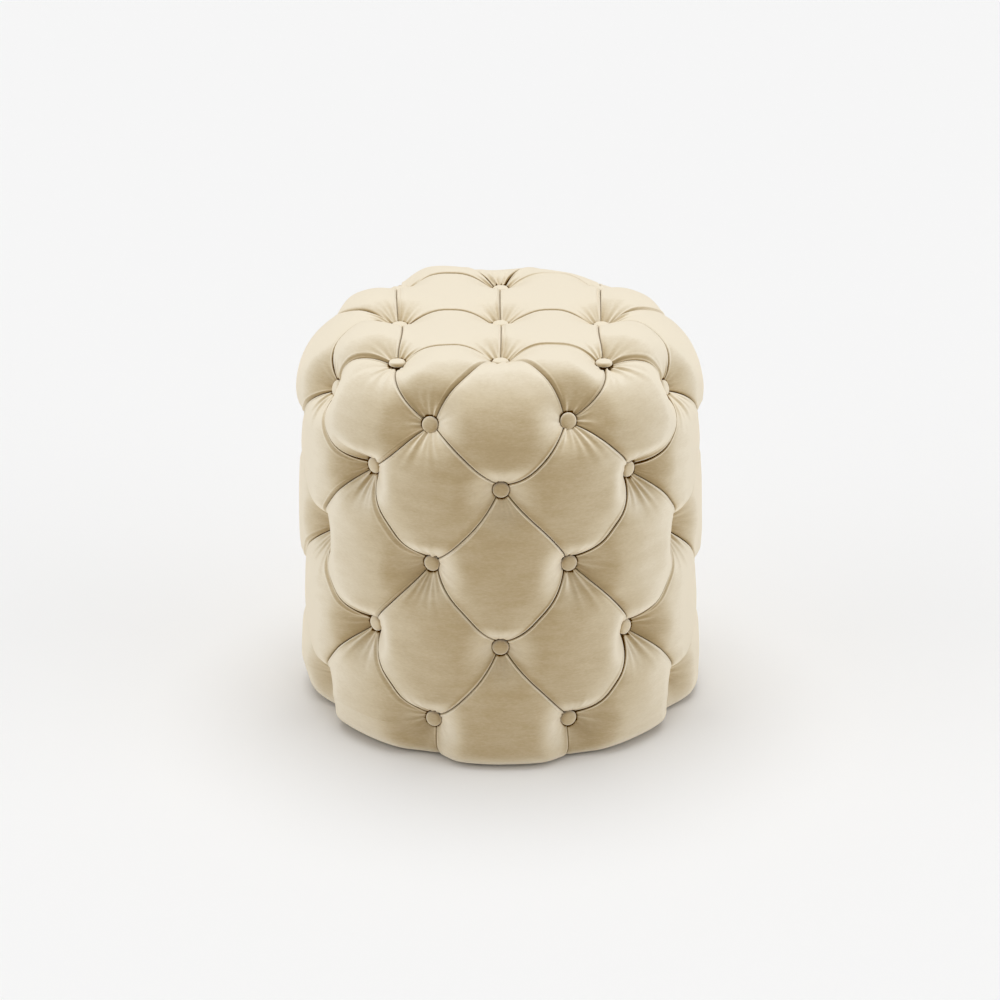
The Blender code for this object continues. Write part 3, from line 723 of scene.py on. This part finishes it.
def add_triangle_panel(surface, names, cut, lift, folds, lobe=False):
    """A pillow between three buttons; a lobe has no pleat along its bottom and runs on below."""
    keys = list(WEIGHTS)
    weights = np.array([WEIGHTS[key] for key in keys])
    base = weights @ np.array([raised(corner_place(name)) for name in names])
    edges = []
    for one, other in ((0, 1), (0, 2)) if lobe else ((0, 1), (0, 2), (1, 2)):
        pleat = pleat_between(names[one], names[other])
        base += (4.0 * weights[:, one] * weights[:, other])[:, None] * pleat.bow
        edges.append(pleat)
    if lobe:
        edges += [upright_below(names[1]), upright_below(names[2])]
    made, pressed = finish_points(base, edges, names, lift, folds)
    index = {}
    for number, (i, j) in enumerate(keys):
        index[i, j] = surface.add(made[number], pressed[number], triangle_key(names, i, j, lobe))
    for i, j in keys:
        if i + j < EDGE_STEPS:
            surface.add_face(cut, index[i, j], index[i + 1, j], index[i, j + 1])
        if i + j < EDGE_STEPS - 1:
            surface.add_face(cut, index[i + 1, j], index[i + 1, j + 1], index[i, j + 1])


SKIRT_LINES = 16  # down to the round lower edge
SKIRT_TURNS = 9  # round it
SIDEWAYS = np.array((1.0, 1.0, 0.0))

# Radius, height and share of the pleats' depth where the cloth turns in under the base
SKIRT_INNER = ((0.198, SKIRT_LIFT + 0.0006, 0.6), (0.190, 0.0035, 0.3),
               (COVER_TURN_RADIUS, COVER_EDGE_BOTTOM, 0.0), (COVER_EDGE_RADIUS, COVER_EDGE_BOTTOM, 0.0))


def skirt_outline():
    """Crest radius and height down the skirt, and the share of the pleats' depth left there."""
    outline = []
    for step in range(1, SKIRT_LINES + 1):
        outline.append((CREST_RADIUS, mix(ROW_HEIGHTS[SIDE_ROWS], SKIRT_TOP, step / SKIRT_LINES), 1.0))
    for step in range(1, SKIRT_TURNS + 1):
        turn = math.pi / 2 * step / SKIRT_TURNS
        radius = CREST_RADIUS - SKIRT_ROUND * (1.0 - math.cos(turn))
        outline.append((radius, SKIRT_TOP - SKIRT_ROUND * math.sin(turn), 1.0))
    return [*outline, *SKIRT_INNER]


def skirt_draw(left):
    """How far the foot of a lobe is drawn in, from its left pleat to its right one."""
    first, middle, last = (FOOT_DRAWS.get((left[1] + step) % COLUMNS, 0.0) for step in range(3))
    return mix(mix(first, last, SHARES), middle, np.sin(math.pi * SHARES))


def add_skirt(surface, left, right, cut, folds):
    """The lower part of a lowest lobe, down to the floor and in under the base."""
    top = mix(corner_place(left), corner_place(right), SHARES[:, None])
    straight = np.unwrap(np.arctan2(top[:, 0], -top[:, 1]))
    lean, draw = mix(foot_lean(left), foot_lean(right), SHARES), skirt_draw(left)
    above = corner_name(SIDE_ROWS - 1, left[1] + 1)
    edges = [upright_below(left), upright_below(right)]
    edges += [pleat_between(above, left), pleat_between(above, right)]
    rows = [[surface.add(None, key=lobe_key(left, right, j)) for j in range(EDGE_STEPS + 1)]]
    start, down = ROW_HEIGHTS[SIDE_ROWS], 0.0
    for level, (radius, height, share) in enumerate(skirt_outline()):
        down = max(down, (start - height) / (start - SKIRT_LIFT))
        angles = straight + lean * down
        points = raised(around(angles, PIT_RADIUS, height))
        depth, shift, pressed = panel_depth(points, edges, (left, right), 0.0, folds)
        reach = np.maximum(radius - draw * down * share - depth * share, COVER_EDGE_RADIUS)
        made = around(angles, reach, height) + shift * share * SIDEWAYS
        made += around(angles, unevenness(made) * share, 0.0)
        keys = {0: ("foot", left, level), EDGE_STEPS: ("foot", right, level)}
        rows.append([surface.add(made[j], pressed[j] * share, keys.get(j)) for j in range(EDGE_STEPS + 1)])
    add_faces(surface, np.array(rows), cut)


JOIN_COLUMN = 5  # where the front cut meets the back cut, to the right


def cut_of(column):
    """The side cover's cut that a column's pillows belong to, joined near +X and -X."""
    return FRONT if (column - JOIN_COLUMN) % COLUMNS >= COLUMNS // 2 else BACK


# The small folds at a panel's corners: count, spread, height and length
TOP_FOLDS = (5, 0.62, 0.0031, 0.022)
FOOT_FOLDS = (4, 0.60, 0.0026, 0.015)
SIDE_FOLDS = (3, 0.50, 0.0016, 0.014)
SEAT_FOLDS = (4, 0.60, 0.0016, 0.016)
CALM_SHARE = 0.35  # of the folds' height at the buttons that face the front

# How far the middle of a pillow rises over the crest surface
SEAT_LIFT = 0.0005
SHOULDER_LIFT = 0.003
SHOULDER_LIFTS = {7: -0.004, 9: 0.004, 11: 0.005, 13: 0.005}
TOP_LIFTS = {(0, 8): -0.010, (0, 12): 0.0015}


def panel_folds(names, kinds):
    folds = []
    for name, (count, spread, rise, length) in zip(names, kinds):
        calm = CALM_SHARE if name[0] and name[1] == 0 else 1.0
        folds.append(fold_rays(count, spread, rise * calm, length))
    return folds


def add_seat_panels(surface):
    """The four square pillows of the seat."""
    for across in (-1, 0):
        for back in (-1, 0):
            names = [(0, across + i, back + j) for i, j in ((0, 0), (1, 0), (1, 1), (0, 1))]
            add_quad_panel(surface, names, SEAT, SEAT_LIFT, panel_folds(names, (SEAT_FOLDS,) * 4))


def add_shoulder_panel(surface, column):
    """A three-sided pillow between the seat's edge and the side."""
    names = [corner_name(0, column - 1), corner_name(1, column), corner_name(0, column + 1)]
    folds = panel_folds(names, (SEAT_FOLDS, FOOT_FOLDS, SEAT_FOLDS))
    add_triangle_panel(surface, names, SEAT, SHOULDER_LIFTS.get(column, SHOULDER_LIFT), folds)


def add_diamonds(surface, column):
    """The four-sided pillows of one column, from the top down."""
    for row in range(column % 2, SIDE_ROWS - 1, 2):
        names = [corner_name(row, column), corner_name(row + 1, column - 1)]
        names += [corner_name(row + 2, column), corner_name(row + 1, column + 1)]
        folds = panel_folds(names, (TOP_FOLDS, SIDE_FOLDS, FOOT_FOLDS, SIDE_FOLDS))
        add_quad_panel(surface, names, cut_of(column), TOP_LIFTS.get((row, column), 0.0), folds)


def add_lobe(surface, column):
    """A lowest pillow and the skirt below it."""
    left, right = corner_name(SIDE_ROWS, column - 1), corner_name(SIDE_ROWS, column + 1)
    names = [corner_name(SIDE_ROWS - 1, column), left, right]
    folds = panel_folds(names, (TOP_FOLDS, SIDE_FOLDS, SIDE_FOLDS))
    add_triangle_panel(surface, names, cut_of(column), 0.0, folds, lobe=True)
    add_skirt(surface, left, right, cut_of(column), folds[1:])


def tufted_surface():
    surface = Surface()
    add_seat_panels(surface)
    for column in range(COLUMNS):
        if column % 2:
            add_shoulder_panel(surface, column)
        add_diamonds(surface, column)
        if not column % 2:
            add_lobe(surface, column)
    return surface


# The lining: each body's hidden inside, from the open edge of its panels to the drum

LINING_STEPS = 16  # around half the pouf
LINING_WIDE = LINING_STEPS + 1
SEAT_LINING = (0.1660, 0.4105)  # radius and height
SIDE_LINING = ((0.1665, 0.4102), (0.1685, 0.4040), (0.1685, 0.3300), (0.1685, 0.2300),
               (0.1685, 0.1300), (0.1685, 0.0110), (0.1500, 0.0110))
LINING_LAST = len(SIDE_LINING) - 1
JOIN_ANGLE = JOIN_COLUMN * COLUMN_ANGLE
JOIN_MARGIN = math.pi / 4  # the open edge wanders less than this to either side of a join
HEM_RADIUS = COVER_EDGE_RADIUS + 0.0005
HEM_HIGH = 0.0100


def open_edge(faces):
    """The next point after each one along a shell's open edge."""
    used = {pair for face in faces for pair in zip(face, face[1:] + face[:1])}
    return {one: other for one, other in used if (other, one) not in used}


def strip_faces(after, inner, corners=None):
    """Faces from the open edge to the lining's border, by way of its corners."""
    faces = []
    for one, other in after.items():
        way = [inner[one]]
        if inner[other] != inner[one]:
            way += (corners or {}).get((inner[one], inner[other]), []) + [inner[other]]
        faces.append((other, one, *way))
    return faces


def seat_lining(points, after):
    first, steps = len(points), 2 * LINING_STEPS
    ring = [around(math.tau * step / steps, *SEAT_LINING) for step in range(steps)]
    inner = {}
    for number in after:
        angle = math.atan2(points[number][0], -points[number][1])
        inner[number] = first + round(angle / math.tau * steps) % steps
    cap = tuple(first + step for step in reversed(range(steps)))
    return ring, [*strip_faces(after, inner), cap]


def on_top_edge(key):
    """Whether a shared point lies on the pleats between the seat and the side."""
    return key[0] == "pleat" and key[1][0] == 0 or key[0] == "corner" and key[1][0] < 2


def lining_cell(point, start, on_top):
    """Row and step of the lining's border point that a point of the open edge is joined to."""
    x, y, height = point
    turn = (math.atan2(x, -y) - start + JOIN_MARGIN) % math.tau - JOIN_MARGIN
    step = min(max(round(turn / math.pi * LINING_STEPS), 0), LINING_STEPS)
    if on_top:
        return 0, step
    if height < HEM_HIGH and math.hypot(x, y) < HEM_RADIUS:
        return LINING_LAST, step
    row = min(range(1, LINING_LAST), key=lambda k: abs(SIDE_LINING[k][1] - height))
    return row, 0 if turn < math.pi / 2 else LINING_STEPS


def lining_corners(first):
    """The lining's corner points, by the two border points that each lies between."""
    corners = {}
    for row, next_row in ((0, 1), (LINING_LAST, LINING_LAST - 1)):
        for step, next_step in ((0, 1), (LINING_STEPS, LINING_STEPS - 1)):
            ends = first + row * LINING_WIDE + next_step, first + next_row * LINING_WIDE + step
            corners[ends] = corners[ends[::-1]] = [first + row * LINING_WIDE + step]
    return corners


def side_lining(points, after, start, top):
    """The drum's side, its upper edge and the way out to the hem, over half a turn from start."""
    first = len(points)
    grid = [around(start + math.pi * step / LINING_STEPS, radius, height)
            for radius, height in SIDE_LINING for step in range(LINING_WIDE)]
    inner = {}
    for number in after:
        row, step = lining_cell(points[number], start, number in top)
        inner[number] = first + row * LINING_WIDE + step
    faces = strip_faces(after, inner, lining_corners(first))
    for row in range(LINING_LAST):
        for step in range(LINING_STEPS):
            at = first + row * LINING_WIDE + step
            faces.append((at, at + 1, at + LINING_WIDE + 1, at + LINING_WIDE))
    return grid, faces


def mesh_object(name, points, faces, smooth=True):
    mesh = bpy.data.meshes.new(name)
    mesh.from_pydata([tuple(map(float, point)) for point in points], [], faces)
    mesh.update()
    if smooth:
        mesh.shade_smooth()
    obj = bpy.data.objects.new(name, mesh)
    bpy.context.scene.collection.objects.link(obj)
    return obj


# Materials

class Shader:
    """A node material round Blender's principled shader."""

    def __init__(self, name, values):
        self.material = bpy.data.materials.new(name)
        self.material.use_nodes = True
        self.nodes = self.material.node_tree.nodes
        self.shade(values)

    def give(self, node, values):
        """Link each named input to another node's output, or give it a value."""
        for socket, value in values.items():
            if isinstance(value, bpy.types.NodeSocket):
                self.material.node_tree.links.new(value, node.inputs[socket])
            else:
                node.inputs[socket].default_value = value
        return node

    def shade(self, values):
        self.give(self.nodes["Principled BSDF"], values)

    def add(self, kind, values):
        """The outputs of a new node."""
        return self.give(self.nodes.new(kind), values).outputs

    def noise(self, values):
        return self.add("ShaderNodeTexNoise", values)["Fac"]

    def spread(self, value, low, high, top=1.0):
        """A value from nought to top, spread from low to high."""
        values = {"Value": value, "From Max": top, "To Min": low, "To Max": high}
        return self.add("ShaderNodeMapRange", values)["Result"]

    def add_scaled(self, source, factor, onto):
        """A scaled value added onto another."""
        step = self.nodes.new("ShaderNodeMath")
        step.operation = "MULTIPLY_ADD"
        return self.give(step, {0: source, 1: factor, 2: onto}).outputs["Value"]

    def ramp(self, source, stops):
        """The colour that a value has between the stops, which are given by their places."""
        made = self.nodes.new("ShaderNodeValToRGB")
        elements = made.color_ramp.elements
        first, *between, last = sorted(stops)
        elements[0].position, elements[-1].position = first, last
        for place in between:
            elements.new(place)
        for element, place in zip(elements, sorted(stops)):
            element.color = (*stops[place], 1.0)
        return self.give(made, {"Fac": source}).outputs["Color"]

    def bump(self, height, strength, distance):
        values = {"Strength": strength, "Distance": distance, "Height": height}
        self.shade({"Normal": self.add("ShaderNodeBump", values)["Normal"]})


SHEEN = 0.42
SHEEN_GONE = 0.35  # where the pressed and painted shade reaches this far, the pile has no sheen
# Base colours from the painted crease shade and the pile seen head-on, dark, to the painted sheen of the
# pile seen across, pale
PILE_SHADE_TO_SHEEN_COLOURS = {0.0: (0.09, 0.035, 0.0), 0.09: (0.39, 0.285, 0.145), 0.26: (0.50, 0.38, 0.215),
                0.47: (0.68, 0.57, 0.39), 0.80: (0.90, 0.815, 0.655)}


def velvet_material():
    """Short pile, faintly mottled; its base colour holds a painted sheen, dark where one looks into it and
    pale where one looks across it, with painted shade and painted top light.
    """
    velvet = Shader("velvet", {"Roughness": 0.9, "Specular IOR Level": 0.0, "Sheen Roughness": 0.5,
                               "Sheen Tint": (1.0, 0.90, 0.74, 1.0)})
    place = velvet.add("ShaderNodeNewGeometry", {})
    stretch = velvet.add("ShaderNodeMapping", {"Vector": place["Position"], "Scale": (1.0, 1.0, 3.6)})
    nap = velvet.noise({"Vector": stretch["Vector"], "Scale": 24.0, "Detail": 5.0, "Roughness": 0.6})
    flecks = velvet.noise({"Vector": stretch["Vector"], "Scale": 210.0, "Detail": 3.0, "Roughness": 0.7})
    # painted light: upward faces paler, downward faces darker
    painted_top_light = velvet.add("ShaderNodeSeparateXYZ", {"Vector": place["Normal"]})["Z"]
    # The mesh's pressed and painted shade: it darkens the base colour as painted shade, and its negative
    # values paint a highlight
    attribute = velvet.nodes.new("ShaderNodeAttribute")
    attribute.attribute_name = "pressed"
    pressed = attribute.outputs["Fac"]
    # painted sheen: the base colour is paler where one looks across the pile
    pale = velvet.add("ShaderNodeLayerWeight", {"Blend": 0.5})["Facing"]
    for source, weight in ((nap, 0.20), (flecks, 0.20), (painted_top_light, 0.22), (pressed, -0.95)):
        pale = velvet.add_scaled(source, weight, pale)
    velvet.shade({"Base Color": velvet.ramp(pale, PILE_SHADE_TO_SHEEN_COLOURS),
                  "Sheen Weight": velvet.spread(pressed, SHEEN, 0.0, top=SHEEN_GONE)})
    grain = velvet.noise({"Vector": stretch["Vector"], "Scale": 1500.0, "Detail": 2.0})
    velvet.bump(grain, 0.2, 0.0004)
    return velvet.material


def plywood_material():
    """Birch plywood: long wavering grain, a little darker in its pores."""
    wood = Shader("plywood", {"Specular IOR Level": 0.3})
    place = wood.add("ShaderNodeTexCoord", {})["Object"]
    stretch = wood.add("ShaderNodeMapping", {"Vector": place, "Scale": (3.0, 60.0, 60.0)})["Vector"]
    grain = wood.noise({"Vector": stretch, "Scale": 3.0, "Detail": 6.0, "Distortion": 0.6})
    wood.shade({"Base Color": wood.ramp(grain, {0.3: (0.50, 0.34, 0.18), 0.7: (0.74, 0.56, 0.36)}),
                "Roughness": wood.spread(grain, 0.55, 0.75)})
    wood.bump(grain, 0.3, 0.0003)
    return wood.material


def paint_material():
    """Black satin paint rolled on wood, worn a little at its high spots."""
    paint = Shader("black_paint", {})
    speckle = paint.noise({"Scale": 220.0, "Detail": 4.0})
    tones = {0.4: (0.014, 0.014, 0.015), 0.8: (0.045, 0.044, 0.042)}
    paint.shade({"Base Color": paint.ramp(speckle, tones), "Roughness": paint.spread(speckle, 0.35, 0.6)})
    paint.bump(speckle, 0.25, 0.0003)
    return paint.material


def felt_material():
    """Thin black non-woven cloth: matt, with a fine random web of fibres."""
    felt = Shader("dust_cloth", {"Roughness": 0.95})
    web = felt.add("ShaderNodeTexVoronoi", {"Scale": 900.0})["Distance"]
    tones = {0.0: (0.022, 0.022, 0.024), 1.0: (0.050, 0.050, 0.052)}
    felt.shade({"Base Color": felt.ramp(web, tones)})
    felt.bump(web, 0.4, 0.0002)
    return felt.material


# Base

DUST_RADIUS = 0.160
DUST_BOTTOM = 0.0083
DUST_THICKNESS = 0.0008
DUST_RINGS = 14
DUST_STEPS = 96
DUST_STAPLES = 24
DUST_RIPPLE = 0.00012  # height of the ripples between the staples


def dust_points():
    """The cloth's lower side and then its upper one, each from the middle out."""
    points = []
    for level in (DUST_BOTTOM, DUST_BOTTOM + DUST_THICKNESS):
        points.append((0.0, 0.0, level))
        for ring in range(1, DUST_RINGS + 1):
            share = ring / DUST_RINGS
            for step in range(DUST_STEPS):
                turn = math.tau * step / DUST_STEPS
                ripple = DUST_RIPPLE * share**2 * math.sin(turn * DUST_STAPLES)
                points.append(around(turn, DUST_RADIUS * share, level + ripple))
    return points


def dust_faces():
    above = 1 + DUST_RINGS * DUST_STEPS
    rim = 1 + (DUST_RINGS - 1) * DUST_STEPS
    faces = []
    for step in range(DUST_STEPS):
        onward = (step + 1) % DUST_STEPS
        faces.append((0, 1 + onward, 1 + step))
        faces.append((above, above + 1 + step, above + 1 + onward))
        for low in range(1, rim, DUST_STEPS):
            high = low + DUST_STEPS
            ring = (low + step, low + onward, high + onward, high + step)
            faces.append(ring)
            faces.append(tuple(above + number for number in (ring[0], ring[3], ring[2], ring[1])))
        faces.append((rim + step, rim + onward, above + rim + onward, above + rim + step))
    return faces


def add_dust_cover(felt):
    """Black cloth stapled under the base, a closed disc with faint ripples from its staples."""
    obj = mesh_object("dust_cloth_cover", dust_points(), dust_faces())
    obj.data.materials.append(felt)
    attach(obj, "root")
    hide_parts("dust_cover")


def finish_base():
    """Better materials on the drum's wood and the plinth, which keep their shapes."""
    wood, paint = plywood_material(), paint_material()
    for node, made, slot in (("drum_wall", wood, "plywood"), ("top_board", wood, "plywood"),
                             ("base_board", wood, "plywood"), ("plinth", paint, "black_paint")):
        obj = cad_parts[node]
        obj.data.materials.clear()
        obj.data.materials.append(made)


# Studio

SUNS = (  # name, direction, strength and width in degrees
    ("overhead", (0.0, -0.20, -1.0), 1.38, 50),
    ("left", (1.0, 0.35, -0.30), 0.60, 60),
    ("right", (-1.0, 0.35, -0.30), 0.66, 60),
)


def add_sun(name, direction, strength, width):
    light = bpy.data.lights.new(name, "SUN")
    light.energy = strength
    light.angle = math.radians(width)
    obj = bpy.data.objects.new(name, light)
    obj.rotation_mode = "QUATERNION"
    obj.rotation_quaternion = Vector(direction).to_track_quat("-Z", "Y")
    bpy.context.scene.collection.objects.link(obj)


def add_studio():
    """An even white room, three soft lights and a pale floor."""
    world = bpy.data.worlds.new("studio")
    world.use_nodes = True
    bpy.context.scene.world = world
    background = world.node_tree.nodes["Background"]
    background.inputs["Color"].default_value = (1.0, 1.0, 1.0, 1.0)
    background.inputs["Strength"].default_value = 0.46
    for sun in SUNS:
        add_sun(*sun)
    floor = mesh_object("floor", [(-30, -30, 0), (30, -30, 0), (30, 30, 0), (-30, 30, 0)],
                        [(0, 1, 2, 3)], smooth=False)
    pale = Shader("floor", {"Base Color": (0.92, 0.92, 0.92, 1.0), "Roughness": 0.9,
                            "Specular IOR Level": 0.1})
    floor.data.materials.append(pale.material)


CAMERA_RISE = math.radians(23.45)
CAMERA_DISTANCE = 4.6464
CAMERA_TARGET = Vector((-0.0006, 0.0, 0.2226))


def add_camera():
    """The photograph's view: straight from the front and a little from above."""
    data = bpy.data.cameras.new("camera")
    data.sensor_width = 36.0
    data.lens = 151.0
    data.clip_end = 100.0
    camera = bpy.data.objects.new("camera", data)
    back = Vector((0.0, -math.cos(CAMERA_RISE), math.sin(CAMERA_RISE)))
    camera.location = CAMERA_TARGET + back * CAMERA_DISTANCE
    camera.rotation_mode = "QUATERNION"
    camera.rotation_quaternion = (-back).to_track_quat("-Z", "Y")
    bpy.context.scene.collection.objects.link(camera)
    bpy.context.scene.camera = camera


# Buttons

BUTTON_STEPS = 40

# A head's outline from its top to the cloth, as shares of its radius and its rise
HEAD_SHARES = ((0.0, 0.86), (0.25, 0.85), (0.50, 0.82), (0.68, 0.76), (0.80, 0.67), (0.88, 0.54),
               (0.93, 0.36), (0.95, 0.16), (0.94, 0.0), (0.90, -0.12), (0.80, -0.22))


def turned_form(profile, steps):
    """Points and faces of a closed form turned about Z, from its pole down to its flat end."""
    points, faces = [(0.0, 0.0, profile[0][1])], []
    for radius, height in profile[1:]:
        for step in range(steps):
            turn = math.tau * step / steps
            points.append((radius * math.cos(turn), radius * math.sin(turn), height))
    end = len(points) - steps
    for step in range(steps):
        onward = (step + 1) % steps
        faces.append((0, 1 + step, 1 + onward))
        for low in range(1, end, steps):
            high = low + steps
            faces.append((low + step, high + step, high + onward, low + onward))
    faces.append(tuple(end + step for step in reversed(range(steps))))
    return points, faces


def add_button(node, centre, axis, anchor_reach, velvet):
    """A covered button with its tie and anchor, turned about the tie."""
    profile = [(BUTTON_RADIUS * out, BUTTON_RISE * up) for out, up in HEAD_SHARES]
    profile += [(TIE_RADIUS, -BUTTON_BACK), (TIE_RADIUS, -anchor_reach), (ANCHOR_RADIUS, -anchor_reach),
                (ANCHOR_RADIUS, -anchor_reach - ANCHOR_THICKNESS)]
    points, faces = turned_form(profile, BUTTON_STEPS)
    tilted = Vector(axis).to_track_quat("Z", "Y").to_matrix().to_4x4()
    placed = Matrix.Translation(Vector(centre)) @ tilted
    obj = mesh_object("covered_" + node, [placed @ Vector(point) for point in points], faces)
    obj.data.materials.append(velvet)
    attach(obj, "root")
    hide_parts(node)


def side_anchor_reach(row, centre):
    """From a side button's rim in to its anchor, which lies inside the drum's wall."""
    tilt = side_tilt(row)
    reach = (np.hypot(centre[0], centre[1]) - WALL_INNER_RADIUS) / math.cos(tilt)
    reach += ANCHOR_RADIUS * math.tan(tilt) + ANCHOR_GAP
    return reach


def add_buttons(velvet):
    for row in range(1, SIDE_ROWS + 1):
        for column in range(row % 2, COLUMNS, 2):
            centre = rim_centre(row, column)
            reach = side_anchor_reach(row, centre)
            add_button(f"button_row{row}_{column:02d}", centre, side_axis(row, column), reach, velvet)
    places = [(across, back) for back in (-1, 0, 1) for across in (-1, 0, 1)]
    for number, place in enumerate(places, start=1):
        centre = seat_rim(*place)
        reach = centre[2] - BOARD_BOTTOM + CLEARANCE
        add_button(f"button_seat_{number}", centre, (0.0, 0.0, 1.0), reach, velvet)


# Upholstery: the piece that each cut makes, and the nodes that it stands for

BODIES = {
    SEAT: ("seat_upholstery", "seat_cover", "seat_foam"),
    FRONT: ("front_upholstery", "front_cover", "side_foam"),
    BACK: ("back_upholstery", "back_cover"),
}


def cut_lining(surface, cut, places, points, after):
    """Points and faces that close a cut; places gives its points by their numbers on the surface."""
    if cut == SEAT:
        return seat_lining(points, after)
    start = JOIN_ANGLE - math.pi if cut == FRONT else JOIN_ANGLE
    top = {places[v] for key, v in surface.shared.items() if v in places and on_top_edge(key)}
    return side_lining(points, after, start, top)


def add_attribute(mesh, name, kind, domain, values):
    mesh.attributes.new(name, kind, domain).data.foreach_set("value", values)


def on_open_edge(mesh, after):
    """Whether each of a mesh's edges is one where the lining starts."""
    ends = np.zeros(2 * len(mesh.edges), int)
    mesh.edges.foreach_get("vertices", ends)
    pairs = ends.reshape(-1, 2).tolist()
    return [after.get(one) == other or after.get(other) == one for one, other in pairs]


def add_body(surface, cut, velvet):
    """One closed, padded body: a cut of the tufted surface and its lining."""
    faces = [face for face, owner in zip(surface.faces, surface.cuts) if owner == cut]
    used = sorted({v for face in faces for v in face})
    places = {v: k for k, v in enumerate(used)}
    shell = [tuple(places[v] for v in face) for face in faces]
    points = np.array([surface.points[v] for v in used])
    after = open_edge(shell)
    inside, lining = cut_lining(surface, cut, places, points, after)
    name, *nodes = BODIES[cut]
    obj = mesh_object(name, [*points, *inside], shell + lining)
    pressed = [surface.pressed[v] for v in used] + [0.0] * len(inside)
    add_attribute(obj.data, "pressed", "FLOAT", "POINT", pressed)
    add_attribute(obj.data, "sharp_edge", "BOOLEAN", "EDGE", on_open_edge(obj.data, after))
    obj.data.materials.append(velvet)
    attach(obj, "root")
    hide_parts(*nodes)


def add_upholstery(velvet):
    surface = tufted_surface()
    for cut in BODIES:
        add_body(surface, cut, velvet)


bpy.context.scene.view_settings.view_transform = "Standard"
cloth = velvet_material()
add_camera()
add_studio()
add_upholstery(cloth)
add_buttons(cloth)
add_dust_cover(felt_material())
finish_base()
